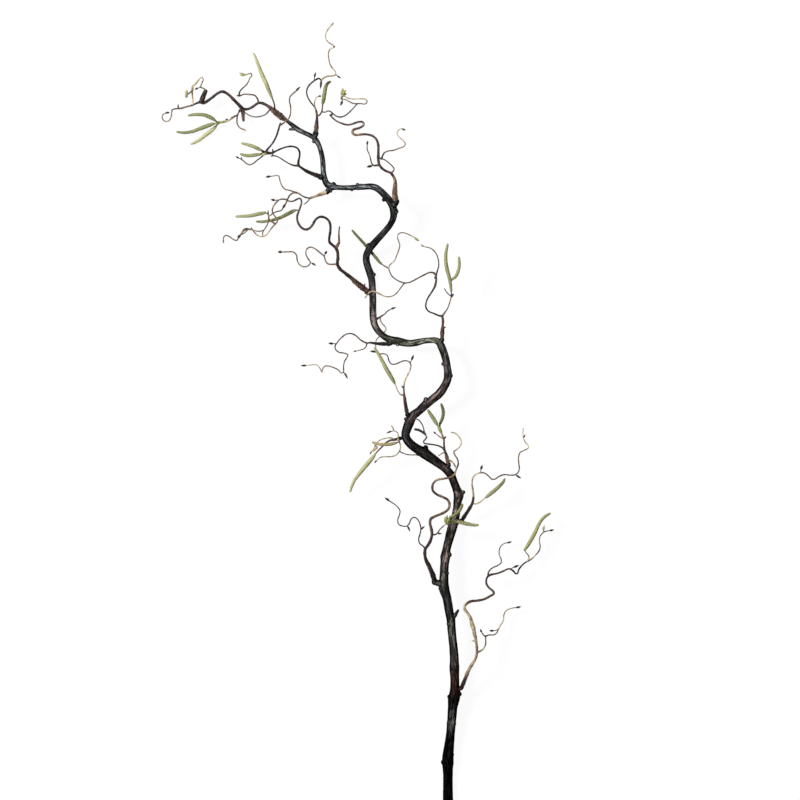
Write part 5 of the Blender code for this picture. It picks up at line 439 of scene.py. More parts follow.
            (-252, 878.6, 44), (-249.2, 883), (-247.6, 887), (-245, 890.6, 48), (-246.3, 893.3),
            (-250, 892.3)]),
        "hanging_sheath": ((3.0, 4.4, 4.2, 2.6), [(-256.5, 849.4), (-256.3, 844, 16), (-256, 838),
            (-255.6, 833.4, 12)]),
        "left_low": ((1.9, 1.8, 2.8, 3.0, 2.6), [(-257.6, 848.6), (-261.3, 845.4), (-263.4, 841.9, 15),
            (-267, 840), (-271.5, 837.3), (-276, 834.5, 13), (-282, 833), (-287, 832, 12)]),
        "stalk_a": ((2.2, 1.9), [(-286.6, 832.1), (-288.6, 833), (-290.6, 834.4, 17)]),
        "stalk_b": ((2.2, 1.9), [(-287, 832), (-289, 831.6), (-291.2, 831.1, 11.5)]),
        "stalk_c": ((2.2, 1.9), [(-286.6, 832), (-288.2, 830.4), (-289.8, 828.4, 6.5)]),
        "down_twig": ((1.8, 1.6, 2.0), [(-263.3, 841.6), (-264, 835.5), (-263, 829.5), (-259.5, 825.3, 7),
            (-255.5, 823.7), (-252.5, 821.8, 6)]),
        "catkin_stalk": ((2.2, 1.7), [(-217.5, 847), (-216.6, 852, 30), (-217.6, 857),
            (-219.4, 861.6, 34)]),
    }, "buds": [(-354.5, 843.9, -347.6, 844.8, 2.8, 1), (-336.8, 849.7, -337.4, 856, 2, 0),
        (-309.6, 876, -316.4, 873, 2.8, 3), (-257.5, 848, -262.4, 846.4, 4.2, 0),
        (-274, 835.6, -279, 837, 2.2, 0), (-211, 841, -206.5, 843.4, 5, 0)]},
}

# Catkins: spray and run that carry them, diameters, and route beyond the stalk
CATKINS = {
    "catkin_top": ("leader_spray", "catkin_stalk", (3.0, 4.6, 5.2, 5.2, 4.4, 3.6, 2.4), [(-220.9, 865),
        (-223.3, 871), (-227, 880, 44), (-231.3, 889.5), (-235, 898.5), (-238.5, 908, 46),
        (-243, 919, 42)]),
    "catkin_far_left_upper": ("leader_spray", "stalk_a", (3.0, 4.8, 5.0, 4.4, 4.0, 3.6, 2.8), [
        (-293.8, 836.8), (-298, 839.2, 19), (-304, 841.5), (-311, 842.3, 20), (-318, 842),
        (-325.4, 841, 17)]),
    "catkin_far_left_middle": ("leader_spray", "stalk_b", (3.2, 5.0, 5.2, 4.6, 4.2, 3.8, 3.4, 2.6), [
        (-295.5, 830.2), (-303, 827.5, 9), (-311, 824.5), (-319, 821.5, 8), (-327, 820), (-334, 820),
        (-340, 821, 10)]),
    "catkin_far_left_lower": ("leader_spray", "stalk_c", (3.0, 4.6, 4.6, 4.2, 3.8, 2.8), [
        (-293.2, 824.8, 4.5), (-298.5, 820.4, 4), (-305, 815.5), (-311, 811), (-317, 807.5),
        (-322.4, 805.3, 5)]),
    "catkin_left_upper": ("spray_upper_left", "stalk_up", (3.0, 4.6, 4.4, 3.6, 2.6), [(-236, 798.4),
        (-241, 800.8, 57), (-247, 803), (-253, 804.8), (-258.7, 806, 54)]),
    "catkin_left_lower": ("spray_upper_left", "stalk_low", (3.0, 4.6, 4.4, 4.0, 2.8), [(-237.5, 791.9),
        (-242.5, 791.1, 42), (-248, 790.6), (-254, 791, 38), (-260, 793, 37)]),
    "catkin_beside_top": ("spray_top", "catkin_stalk", (3.2, 5.0, 5.2, 4.8, 4.0, 3.0), [(-156.1, 857),
        (-155.2, 862, 43), (-154.3, 868), (-153, 875, 44), (-150.6, 880.5), (-146, 883.6, 42)]),
    "catkin_coil_upper": ("spray_left_coil", "catkin_stalk", (3.2, 4.8, 4.8, 4.4, 3.8, 3.4, 2.8), [
        (-230.5, 719, 32), (-236, 718), (-242, 716.6, 33), (-249, 715.3), (-257, 715, 32),
        (-266, 714.6, 30)]),
    "catkin_coil_lower": ("spray_left_coil", "low_catkin_stalk", (3.2, 4.8, 4.8, 4.4, 4.0, 3.6, 3.4, 2.8), [
        (-193, 721.6, 33), (-197, 719.6), (-203, 716.6, 27), (-209.5, 713.4), (-216.5, 711, 22.5),
        (-224, 709.4, 22), (-232, 708.2), (-240.3, 708.6, 21)]),
    "catkin_behind_stem": ("spray_right_loops", "catkin_stalk", (2.6, 3.6, 4.0, 4.0, 3.8, 3.6, 3.2, 2.6), [
        (-85.3, 657.4, 23), (-89, 662), (-93.6, 667.6, 12), (-97.8, 672.6, 7), (-103.5, 679.3, 6),
        (-110, 686.6), (-115.5, 692.6), (-120.4, 698.4, 7)]),
    "catkin_pair_right": ("spray_right_loops", "pair_stalk", (3.0, 3.8, 4.2, 4.8, 4.8, 4.6, 4.2, 3.6, 2.6), [
        (3.6, 625), (2.9, 630), (2, 636, 54), (0.4, 642), (-1.4, 649), (-2.6, 656, 58), (-3, 663),
        (-2.5, 670), (-1.3, 676), (-0.2, 681, 54)]),
    "catkin_mid_left": ("spray_mid_left", "catkin_stalk", (3.2, 4.8, 5.4, 5.2, 4.6, 4.2, 3.6, 2.6), [
        (-67.9, 508.6), (-70.4, 513, 40), (-74, 519), (-78, 526, 41), (-81, 532), (-84.5, 538.5, 38),
        (-88, 544.5), (-92.6, 551.2, 34)]),
    "catkin_middle_upper": ("spray_middle", "bract", (3.4, 4.6, 4.8, 4.2, 3.2), [(-15, 457),
        (-17.4, 460.8, 40), (-20.3, 465.4), (-23.4, 470), (-25.4, 473.6, 38)]),
    "catkin_middle_lower": ("spray_middle", "bract_low", (2.8, 4.0, 4.2, 4.0, 2.8), [(-9.4, 457),
        (-7.6, 461, 33), (-6.2, 466), (-6, 471, 34), (-7, 476), (-9, 481.5, 38)]),
    "catkin_left_cluster": ("spray_left_cluster", "catkin_stalk", (3.0, 4.2, 4.0, 3.8, 3.6, 2.8), [
        (-67.4, 431.3, 44), (-74, 429.9), (-81, 429.9, 46), (-88, 430.6), (-95.4, 433, 44)]),
    "catkin_left_drooping": ("spray_left_cluster", "main", (3.2, 5.2, 5.8, 5.4, 4.6, 4.0, 3.6, 2.6), [
        (-92.2, 416.4), (-96, 411.3, 38), (-101, 405.5), (-106, 399.5, 35), (-111.3, 392.8),
        (-116.2, 386, 28), (-120, 378), (-122.6, 370, 22)]),
    "catkin_mid_right": ("spray_mid_right", "catkin_stalk", (3.2, 4.8, 5.0, 4.6, 4.0, 2.6), [(49.5, 365.4),
        (54, 369, 29), (60, 374), (65, 378.5, 27), (69, 383), (71.3, 388, 24)]),
    "catkin_low_right": ("spray_low_right", "catkin_stalk", (3.0, 4.4, 5.0, 5.0, 4.4, 4.0, 3.8, 2.8), [
        (98, 301), (100.8, 305.4, 26), (104, 311), (107.3, 317, 28), (110.3, 323), (113, 329, 26),
        (116.2, 334.4), (121.6, 340), (128.5, 344.2, 20)]),
    "catkin_front_upper": ("spray_low_left", "front_stalk_up", (2.6, 3.8, 4.2, 4.0, 3.2), [(5, 340.2),
        (9, 342.6, 45), (13, 345.8), (16, 350.4, 44), (18.2, 356, 40)]),
    "catkin_front_lower": ("spray_low_left", "front_stalk_right", (3.0, 5.0, 5.0, 4.0, 2.8), [
        (9.5, 334, 34), (14, 333.2), (20, 331.6, 31), (28, 329.8), (34, 329), (38.8, 329.4, 25)]),
}

# Side arms of a catkin: diameters and route
CATKIN_ARMS = {
    "catkin_pair_right": ((2.2, 3.8, 4.2, 4.0, 3.6, 2.8), [(2.4, 633.4, 53.8), (5.5, 636.3, 53), (9, 639),
        (12, 644.5, 51), (13.7, 651), (14, 658, 50), (13.5, 664.8, 50)]),
    "catkin_left_cluster": ((2.6, 2.4, 2.2, 1.8), [(-89.4, 431, 45.2), (-91, 428.2, 44), (-88.6, 426.2),
        (-91.4, 423.4, 43), (-94.6, 420.6, 42.5)]),
}

# Small open leaf buds: spray and run that carry them, then tips and widths of the scales
LEAF_BUDS = {
    "leaf_bud_top": ("spray_top", "right", [(-133.6, 871.2, 50, 3.8), (-131, 875, 53, 3.8),
        (-127.2, 872.6, 55, 3.8), (-126.2, 867.8, 50, 3.4)]),
    "leaf_bud_far_left": ("leader_spray", "top_loop", [(-326.2, 873.4, 30, 3.8), (-328.6, 863.4, 27, 4.4)]),
    "leaf_bud_pale": ("leader_spray", "upper_loop_twig", [(-261, 894.2, 49, 3.2), (-260, 890.6, 48, 2.8)]),
}


def unit(vector):
    return vector / max(np.linalg.norm(vector), 1e-9)


def fill_heights(points):
    """Give each point of a route its height, evenly between the stated ones."""
    flat = np.array([point[:2] for point in points], float)
    along = np.concatenate(([0.0], np.cumsum(np.linalg.norm(np.diff(flat, axis=0), axis=1))))
    known = [(place, point[2]) for place, point in zip(along, points) if len(point) == 3]
    heights = np.interp(along, [place for place, _ in known], [height for _, height in known])
    return np.column_stack((flat, heights))


def smooth_curve(points):
    """Samples of a smooth curve through the points, and the place of each between them."""
    framed = np.vstack((2 * points[0] - points[1], points, 2 * points[-1] - points[-2]))
    samples = []
    places = []
    for index in range(len(points) - 1):
        p0, p1, p2, p3 = framed[index:index + 4]
        t1 = np.linalg.norm(p1 - p0) ** 0.5
        t2 = t1 + np.linalg.norm(p2 - p1) ** 0.5
        t3 = t2 + np.linalg.norm(p3 - p2) ** 0.5
        count = max(2, math.ceil(np.linalg.norm(p2 - p1) / CURVE_STEP))
        share = np.arange(count)[:, None] / count
        t = t1 + (t2 - t1) * share
        a1 = p0 + (p1 - p0) * t / t1
        a2 = p1 + (p2 - p1) * (t - t1) / (t2 - t1)
        a3 = p2 + (p3 - p2) * (t - t2) / (t3 - t2)
        b1 = a1 + (a2 - a1) * t / t2
        b2 = a2 + (a3 - a2) * (t - t1) / (t3 - t1)
        samples.append(b1 + (b2 - b1) * (t - t1) / (t2 - t1))
        places.append(index + share[:, 0])
    samples.append(points[-1:])
    places.append(np.array([len(points) - 1.0]))
    return np.vstack(samples), np.concatenate(places)


def ease_bends(points, radii):
    """Open each bend that is tighter than the tube is thick."""
    points = points.copy()
    for _ in range(EASING_ROUNDS):
        steps = np.diff(points, axis=0)
        lengths = np.maximum(np.linalg.norm(steps, axis=1), 1e-6)
        ways = steps / lengths[:, None]
        turns = np.arccos(np.clip((ways[1:] * ways[:-1]).sum(axis=1), -1, 1))
        mean_steps = (lengths[1:] + lengths[:-1]) / 2
        tight = turns * radii[1:-1] * BEND_MARGIN > mean_steps
        if not tight.any():
            break
        marked = np.convolve(tight, np.ones(5), "same")[:len(tight)] > 0
        middle = (points[2:] + points[:-2]) / 2
        points[1:-1][marked] = ((points[1:-1] + middle) / 2)[marked]
    return points


def lengths_along(points):
    return np.concatenate(([0.0], np.cumsum(np.linalg.norm(np.diff(points, axis=0), axis=1))))


def even_profile(diameters, points):
    """Radii along a route from diameters spread evenly over its length."""
    lengths = lengths_along(points)
    return np.interp(lengths / lengths[-1], np.linspace(0, 1, len(diameters)), diameters) / 2


def resample(points, radii, step):
    """Evenly spaced centres and radii along a route."""
    lengths = lengths_along(points)
    places = np.linspace(0, lengths[-1], max(3, math.ceil(lengths[-1] / step) + 1))
    centres = np.column_stack([np.interp(places, lengths, points[:, axis]) for axis in range(3)])
    return centres, np.interp(places, lengths, radii), places


def frames_along(centres, first_way=None):
    """Two cross directions at each ring, carried along without twist."""
    ways = np.gradient(centres, axis=0)
    ways /= np.maximum(np.linalg.norm(ways, axis=1), 1e-9)[:, None]
    if first_way is not None:
        ways[0] = first_way
    side = unit(np.cross(ways[0], (0.13, 0.21, 1.0)))
    sides = []
    for way in ways:
        side = unit(side - way * side.dot(way))
        sides.append(side)
    sides = np.array(sides)
    return sides, np.cross(ways, sides)


class Mesh:
    """Skins of one piece, with the surface values of their vertices, gathered part by part."""

    def __init__(self):
        self.values = []
        self.quads = []
        self.triangles = []
        self.count = 0

    def skin(self, centres, frames, widths, rise, angles, places, tones, lowest=TWIG_FLOOR):
        """A closed skin of rings round a centre line: radii, and their rise round each ring."""
        rings = ring_points(centres, frames, widths[:, None] * rise, angles)
        rings[..., 2] = np.maximum(rings[..., 2], lowest)
        routes = route_values(places, angles, widths[:, None])
        tones = np.broadcast_to(tones, angles.shape)[..., None]
        values = np.concatenate((rings, routes, tones), axis=-1)
        levels, sides = angles.shape
        corner = np.arange(sides)
        after = (corner + 1) % sides
        low = self.count + np.arange(levels - 1)[:, None] * sides
        quads = np.stack((low + corner, low + after, low + sides + after, low + sides + corner), axis=-1)
        last = self.count + (levels - 1) * sides
        middle = np.full(sides, last + sides)
        self.quads.append(quads.reshape(-1, 4))
        self.triangles.append(np.stack((middle, self.count + after, self.count + corner), axis=-1))
        self.triangles.append(np.stack((last + corner, last + after, middle + 1), axis=-1))
        self.values += [values.reshape(-1, 7), values[[0, -1]].mean(axis=1)]
        self.count += levels * sides + 2

    def piece(self, name, material):
        """The finished object, in metres."""
        values = np.vstack(self.values)
        quads = np.vstack(self.quads)
        triangles = np.vstack(self.triangles)
        mesh = bpy.data.meshes.new(name)
        mesh.vertices.add(len(values))
        mesh.vertices.foreach_set("co", (values[:, :3] * MM).astype(np.float32).ravel())
        corners = np.concatenate((quads.ravel(), triangles.ravel()))
        mesh.loops.add(len(corners))
        mesh.loops.foreach_set("vertex_index", corners.astype(np.int32))
        starts = np.concatenate((np.arange(len(quads)) * 4, len(quads) * 4 + np.arange(len(triangles)) * 3))
        mesh.polygons.add(len(starts))
        mesh.polygons.foreach_set("loop_start", starts.astype(np.int32))
        mesh.update(calc_edges=True)
        route = mesh.attributes.new("route", "FLOAT_VECTOR", "POINT")
        route.data.foreach_set("vector", values[:, 3:6].astype(np.float32).ravel())
        tone = mesh.attributes.new("tone", "FLOAT", "POINT")
        tone.data.foreach_set("value", values[:, 6].astype(np.float32))
        mesh.shade_smooth()
        mesh.validate()
        mesh.materials.append(material)
        return new_object(name, mesh)


def new_object(name, data, place=(0, 0, 0)):
    item = bpy.data.objects.new(name, data)
    item.location = place
    bpy.context.scene.collection.objects.link(item)
    return item


def round_angles(levels, sides):
    """The angle of each point of each ring."""
    return np.broadcast_to(2 * math.pi * np.arange(sides) / sides, (levels, sides))


def ring_points(centres, frames, radii, angles):
    """Points of each ring; radii may differ round a ring."""
    across, ups = frames
    out = np.cos(angles)[..., None] * across[:, None] + np.sin(angles)[..., None] * ups[:, None]
    return centres[:, None] + out * radii[..., None]


def route_values(places, angles, radii):
    """Surface coordinates for the bark: round the tube in two axes, and along it."""
    along = np.broadcast_to(places[:, None], angles.shape)
    return np.stack((np.cos(angles) * radii, np.sin(angles) * radii, along), axis=-1)


def round_end(places, radii, blunt):
    """Radii that close smoothly towards the end over a length of blunt."""
    left = np.clip((places[-1] - places) / blunt, 0, 1)
    return radii * np.sqrt(np.clip(1 - (1 - left) ** 2, 0.0025, 1))


def waves(places, angles, seed):
    """Lengthwise ridges and slow swellings of bark, between about -1 and 1."""
    drift = 0.9 * np.sin(places * 0.071 + seed) + 0.5 * np.sin(places * 0.19 + seed * 2.3)
    ridges = np.sin(5 * angles + drift * 2 + seed) + 0.7 * np.sin(9 * angles - drift * 3 + seed * 1.7)
    fine = 0.5 * np.sin(14 * angles + places * 0.6 + seed) * np.sin(places * 1.3 + 3 * angles)
    swell = 0.8 * np.sin(places * 0.42 + seed * 3.1 + 1.2 * np.sin(angles + seed))
    return (ridges + fine + swell) / 3


def add_twig(mesh, points, radii, sides, seed, tones, flare=0.0, blunt=None, first_way=None, relief=0.05):
    """A bark-covered twig: swollen at its buds, flared at its root, rounded at a free end."""
    centres, widths, places = resample(points, radii, TWIG_RING_STEP)
    from_node = (places - 4 - seed % 5 + 7) % (13 + seed % 4) - 7
    swelling = NODE_SWELLING * np.exp(-from_node ** 2 / 2.2)
    widths = widths * (1 + swelling) * (1 + flare * np.exp(-places / (2.2 * widths[0] + 0.4)))
    if blunt is not None:
        widths = round_end(places, widths, max(blunt, SHORTEST_END))
    angles = round_angles(len(places), sides)
    along = places[:, None]
    bumps = np.sin(along * 1.15 + 2 * angles + seed) * np.sin(along * 0.7 - angles * 3 + seed * 2)
    rough = np.clip((widths[:, None] - SMOOTH_RADIUS) / 0.6, 0, 1)
    rise = 1 + relief * waves(along, angles, seed) + ROUGHNESS * rough * np.clip(bumps - 0.2, 0, 1)
    shade = np.interp(places / places[-1], np.linspace(0, 1, len(tones)), tones)[:, None]
    mesh.skin(centres, frames_along(centres, first_way), widths, rise, angles, places + seed * 31, shade)


def add_bud(mesh, foot, tip, width, neck, seed, tone):
    """A pointed bud with overlapping scales, on a thin neck where it has one."""
    foot = np.array(foot, float)
    tip = np.array(tip, float)
    length = np.linalg.norm(tip - foot)
    way = unit(tip - foot)
    share = np.linspace(0, 1, BUD_LEVELS)
    start = neck / length
    body = np.clip((share - start) / (1 - start), 0, 1)
    form = width / 2 * np.sin(math.pi * body ** 0.72) ** 0.85
    thinnest = np.where(share < start + 0.1, NECK_RADIUS if neck else width / 2 * 0.55, 0.02)
    widths = np.maximum(form, thinnest)
    bend = np.array((-way[1], way[0], 0.15)) * length * 0.06 * math.sin(seed)
    centres = foot + share[:, None] * (tip - foot) + np.sin(share * math.pi)[:, None] * bend
    angles = round_angles(BUD_LEVELS, BUD_SIDES)
    turn = (body[:, None] * 3.2 + angles / (2 * math.pi) + seed * 0.37) % 1.0
    scales = 1 + BUD_SCALE_RISE * (turn - 0.5) * np.clip(np.sin(body * math.pi), 0, 1)[:, None]
    mesh.skin(centres, frames_along(centres), widths, scales, angles, share * length, tone)


def add_catkin(mesh, points, radii, first_way, seed):
    """A soft tassel of small overlapping scales set in spiral rows."""
    centres, widths, places = resample(points, radii, CATKIN_RING_STEP)
    widths = round_end(places, widths, CATKIN_END)
    widths = np.minimum(widths, widths * (0.55 + 0.45 * np.clip(places / 2.4, 0, 1) ** 0.5))
    angles = round_angles(len(places), CATKIN_SIDES)
    along = places[:, None]
    wobble = 0.16 * np.sin(places * 1.7 + seed)[:, None] + 0.12 * np.sin(angles * 3 + along * 0.9)
    column = angles / (2 * math.pi) * SCALE_ROWS + along * 0.09 + seed * 0.31
    step = along / SCALE_PITCH + 0.5 * np.floor(column) + wobble
    within = column - np.floor(column) - 0.5
    climb = step - np.floor(step)
    lobe = np.clip(1 - (within / 0.5) ** 2, 0, 1) ** 0.6
    lip = np.where(climb < 0.78, climb / 0.78, (1 - climb) / 0.22)
    scale = lobe * lip
    grain = 0.5 + 0.5 * np.sin(angles * 11 + along * 5.1 + seed)
    rise = SCALE_LOW + SCALE_RISE * scale + SCALE_GRAIN * grain
    frames = frames_along(centres, first_way)
    # The tone carries the scale form, which the material paints as shade between the scales and as light on
    # their lips
    mesh.skin(centres, frames, widths, rise, angles, places / places[-1], 0.15 + 0.85 * scale)


def add_knot(mesh, foot, tip, width, seed):
    """A broken spur or knot: a short blunt cone with a worn end."""
    foot = np.array(foot, float)
    tip = np.array(tip, float)
    share = np.linspace(0, 1, KNOT_LEVELS)
    widths = width / 2 * (1.12 - 0.28 * share - 0.3 * share ** 6)
    widths = np.where(share > 0.93, widths * (1 - ((share - 0.93) / 0.07) ** 2 * 0.55), widths)
    widths *= 0.62 + 0.38 * np.clip(1 - share * 0.4, 0, 1)
    centres = foot + share[:, None] * (tip - foot) * 0.94
    angles = round_angles(KNOT_LEVELS, KNOT_SIDES)
    places = share * np.linalg.norm(tip - foot)
    rise = 1 + 0.07 * waves(places[:, None] * 2, angles, seed) + 0.04 * np.sin(angles * 3 + seed)
    shade = 0.12 + 0.5 * share[:, None] ** 4
    mesh.skin(centres, frames_along(centres), widths, rise, angles, places + seed * 13, shade, 0.0)


def nearest_sample(point, samples):
    return int(np.linalg.norm(samples[:, :2] - np.array(point[:2]), axis=1).argmin())


def first_clear(points, radii, stem_points, stem_radii):
    """First sample of a spray whose whole rim is clear of the stem."""
    start = 0
    for index in range(min(len(points) - 2, CLEARANCE_SAMPLES)):
        way = unit(points[index + 1] - points[index])
        across, ups = frames_along(np.array([points[index], points[index] + way]))
        radius = radii[index:index + 1, None]
        rim = ring_points(points[index:index + 1], (across[:1], ups[:1]), radius, round_angles(1, 8))
        apart = np.linalg.norm(rim[0][:, None] - stem_points[None], axis=2) - stem_radii[None] * STEM_ROOM
        if apart.min() < SEAT_GAP:
            start = index + 1
    return start


# Tone of a twig along its length: 0 black, 0.25 dark purple-brown, 0.5 reddish brown,
# 0.75 tan, 1 straw, 1.2 olive, 1.4 green. A run without its own goes on from the main one.
TWIG_TONES = {
    "spray_low_right": {"main": (0.02, 0.85, 0.72, 0.85, 1.0, 0.95, 0.38, 0.6, 0.3, 0.35),
        "catkin_stalk": (1.1, 1.2), "right_low_tip": (0.9, 0.85), "right_low": (0.7, 0.9, 0.75),
        "far_right": (0.9, 0.7, 0.6)},
    "spray_low_left": {"main": (0.15, 0.25, 0.25, 0.3, 0.6, 0.6, 0.5, 0.65, 0.6, 0.45, 0.95, 1.05),
        "front": (0.4, 0.4, 1.1), "front_stalk_up": (1.35, 1.4), "front_stalk_right": (1.35, 1.4),
        "left": (0.25, 0.3)},
    "spray_mid_right": {"main": (0.1, 0.15, 1.0, 1.0, 0.45, 0.4, 0.35, 0.6, 0.9, 1.0)},
    "spray_middle": {"main": (0.5, 0.45, 0.75), "bract": (1.3, 1.4), "bract_low": (1.3, 1.35),
        "side_thick": (0.15, 0.08), "side": (0.12, 0.25, 0.2), "side_thin": (0.5, 0.35, 0.15)},
    "spray_left_cluster": {"main": (0.12, 0.3, 0.7, 0.8), "upper_arc": (0.9, 1.1), "left_up": (1.0, 1.0),
        "loop": (1.1, 0.9), "under_loop": (0.9, 0.6)},
    "spray_mid_left": {"main": (0.2, 0.5, 1.0, 0.4, 0.3, 0.4), "catkin_stalk": (0.8, 1.0, 1.0)},
    "spray_right_loops": {"main": (0.5, 0.45, 0.35), "over_stem": (0.5, 0.7, 0.95),
        "left_upper": (0.35, 0.55), "small_catkin_arm": (0.9, 0.6, 0.8), "left_loop": (0.5, 0.4, 0.3)},
    "spray_far_left_low": {"main": (0.08, 0.15, 0.3, 0.4), "tip": (0.8, 0.95)},
    "spray_left_coil": {"main": (0.45, 0.3, 0.25, 0.25, 0.35, 0.6), "end_low_down": (0.75, 0.85),
        "lower_arc": (0.85, 0.75)},
    "spray_short_left": {"main": (0.4, 0.55, 0.6), "under_stem": (0.8, 0.8)},
    "spray_upper_right": {"main": (0.62, 0.6, 0.3, 0.35, 0.5, 0.6, 0.35, 0.5),
        "right_up": (0.45, 0.55, 0.9, 1.05), "loop": (0.5, 0.45)},
    "spray_tan_left": {"main": (1.0, 0.98, 0.85, 0.68, 0.65), "lower": (0.85, 0.6), "second": (0.5, 0.3)},
    "spray_upper_left": {"main": (0.15, 0.25, 0.28), "left": (0.3, 0.25, 0.12), "up": (0.3, 0.12),
        "top_twig": (0.5, 0.7), "stalk_up": (0.4, 0.4), "stalk_low": (0.4, 0.4)},
    "spray_top": {"main": (0.15, 0.6, 0.4, 0.35, 0.5), "right": (0.6, 0.3, 0.4, 0.75, 1.0),
        "highest": (0.95, 1.0, 0.75, 0.9, 0.95), "small_loop": (0.9, 1.0), "left_arc": (0.5, 0.3, 0.12)},
    "leader_spray": {"main": (0.5, 0.48, 0.32, 0.28, 0.34, 0.28, 0.3, 0.4, 0.4),
        "left_low": (0.5, 0.45, 0.5, 1.4, 1.4), "stalk_a": (1.45, 1.5), "stalk_b": (1.4, 1.4),
        "stalk_c": (1.5, 1.5), "upper_loop": (0.6, 0.5), "pale_link": (0.7, 1.0, 0.8),
        "top_loop": (0.6, 1.0, 0.6), "hanging_sheath": (0.62, 0.6), "blunt_end": (0.2, 0.15, 0.3),
        "down_twig": (0.5, 0.8), "ring": (0.8, 0.6), "top_thin": (0.8, 0.6)},
}
THIN_END_TONE = 0.62
THIN_END_RADIUS = 0.85
STUB_TONES = (0.1, 0.2)
LEAF_TONE = 0.7
BUD_TONE = 0.3
BUD_TONES = {
    "spray_low_left": {4: 1.4, 5: 1.4}, "spray_left_cluster": {0: 1.2, 1: 0.5},
    "spray_low_right": {6: 1.2, 0: 0.95}, "spray_top": {4: 0.85, 6: 0.4, 0: 0.3},
    "spray_right_loops": {0: 1.25, 1: 1.25}, "spray_upper_left": {4: 1.2},
}

# Dry papery sheaths and peeled flakes of bark on a spray: foot, tip, width and tone
SHEATHS = {
    "spray_top": [((-131.0, 869.5, 46.5), (-134.2, 859.5, 43.5), 3.4, 0.8)],
    "spray_low_right": [((32.0, 196.0, 43.4), (26.6, 209.5, 47.0), 2.9, 0.98),
                        ((33.6, 188.0, 41.4), (30.2, 196.5, 43.8), 2.2, 0.92)],
}


def build_runs(runs, stem_points, stem_radii, leads):
    """Curves and radii of a spray's runs, each side run set on an earlier one."""
    built = {}
    samples = None
    for label, (diameters, route) in runs.items():
        route = list(route)
        if samples is not None:
            at = samples[nearest_sample(route[0], samples)]
            route[0] = tuple(at + ROOT_SHIFT * len(built))
            end = samples[nearest_sample(route[-1], samples)]
            if np.linalg.norm(end[:2] - route[-1][:2]) < JOIN_REACH and len(route[-1]) == 3:
                if abs(end[2] - route[-1][2]) < JOIN_HEIGHT:
                    route[-1] = tuple(end)
        elif leads:
            route[:1] = seat_start(stem_points)[1]
        curve, _ = smooth_curve(fill_heights(route))
        radii = even_profile(diameters, curve)
        if samples is None and not leads:
            start = first_clear(curve, radii, stem_points, stem_radii)
            curve = curve[start:]
            radii = radii[start:]
        curve = ease_bends(curve, radii)
        curve[:, 2] = np.maximum(curve[:, 2], radii + FLOOR_ROOM)
        built[label] = (curve, radii)
        samples = curve if samples is None else np.vstack((samples, curve))
    return built, samples


def seat_start(curve):
    """Direction of a seat past the end of a curve, and the first two points of what sits there."""
    way = unit(curve[-1] - curve[-2])
    seat = curve[-1] + way * SEAT_GAP
    return way, [tuple(seat), tuple(seat + way * STRAIGHT_START)]


def stem_surface():
    """Centre line and radii of the main stem."""
    points, places = smooth_curve(np.array(STEM)[:, :3])
    radii = np.interp(places, np.arange(len(STEM)), np.array(STEM)[:, 3]) / 2
    return ease_bends(points, radii), radii


def add_stem(mesh, points, radii):
    """The stem's bark: long lumps, flutes, furrows and flakes."""
    centres, widths, places = resample(points, radii, STEM_RING_STEP)
    angles = round_angles(len(places), STEM_SIDES)
    along = places[:, None]
    long_lumps = LONG_LUMPS * np.sin(along * 0.11 + 1.3 * np.sin(angles + along * 0.02))
    flutes = FLUTES * np.sin(3 * angles + 0.8 * np.sin(along * 0.05))
    bark = FINE_BARK * waves(along, angles, 2.0)
    creases = np.sin(7 * angles + 2.2 * np.sin(along * 0.13) + along * 0.03)
    furrows = -FURROWS * np.clip(creases - 0.6, 0, 1) / 0.4
    flakes = FLAKES * np.sin(along * 1.9 + 4 * angles) * np.clip(np.sin(along * 0.23 + 2 * angles), 0, 1)
    rise = 1 + long_lumps + flutes + bark + furrows + flakes
    mesh.skin(centres, frames_along(centres), widths, rise, angles, places, 0.0, 0.0)


def add_stub(mesh, foot, way, radius, points, radii, seed):
    """The stub that carries a spray, flared where it leaves the stem."""
    index = int(np.linalg.norm(points - (foot - way * STUB_REACH), axis=1).argmin())
    end = foot - way * SEAT_GAP
    back = end - way * STUB_COLLAR_LENGTH
    root = points[index] - way * max(0.0, STUB_COLLAR_LENGTH - (back - points[index]).dot(way))
    first_radius = min(radii[index] * STUB_ROOT_SHARE, radius * STUB_ROOT_WIDTH)
    curve, _ = smooth_curve(np.array([root, (root + back) / 2 + (back - root) * 0.1, back, end]))
    share = lengths_along(curve) / lengths_along(curve)[-1]
    collar = radius * STUB_COLLAR
    widths = first_radius + (collar - first_radius) * share ** 0.6
    widths += collar * 0.07 * np.exp(-((share - 0.93) / 0.05) ** 2)
    add_twig(mesh, curve, widths, SLEEVE_SIDES, seed, STUB_TONES, relief=0.04)


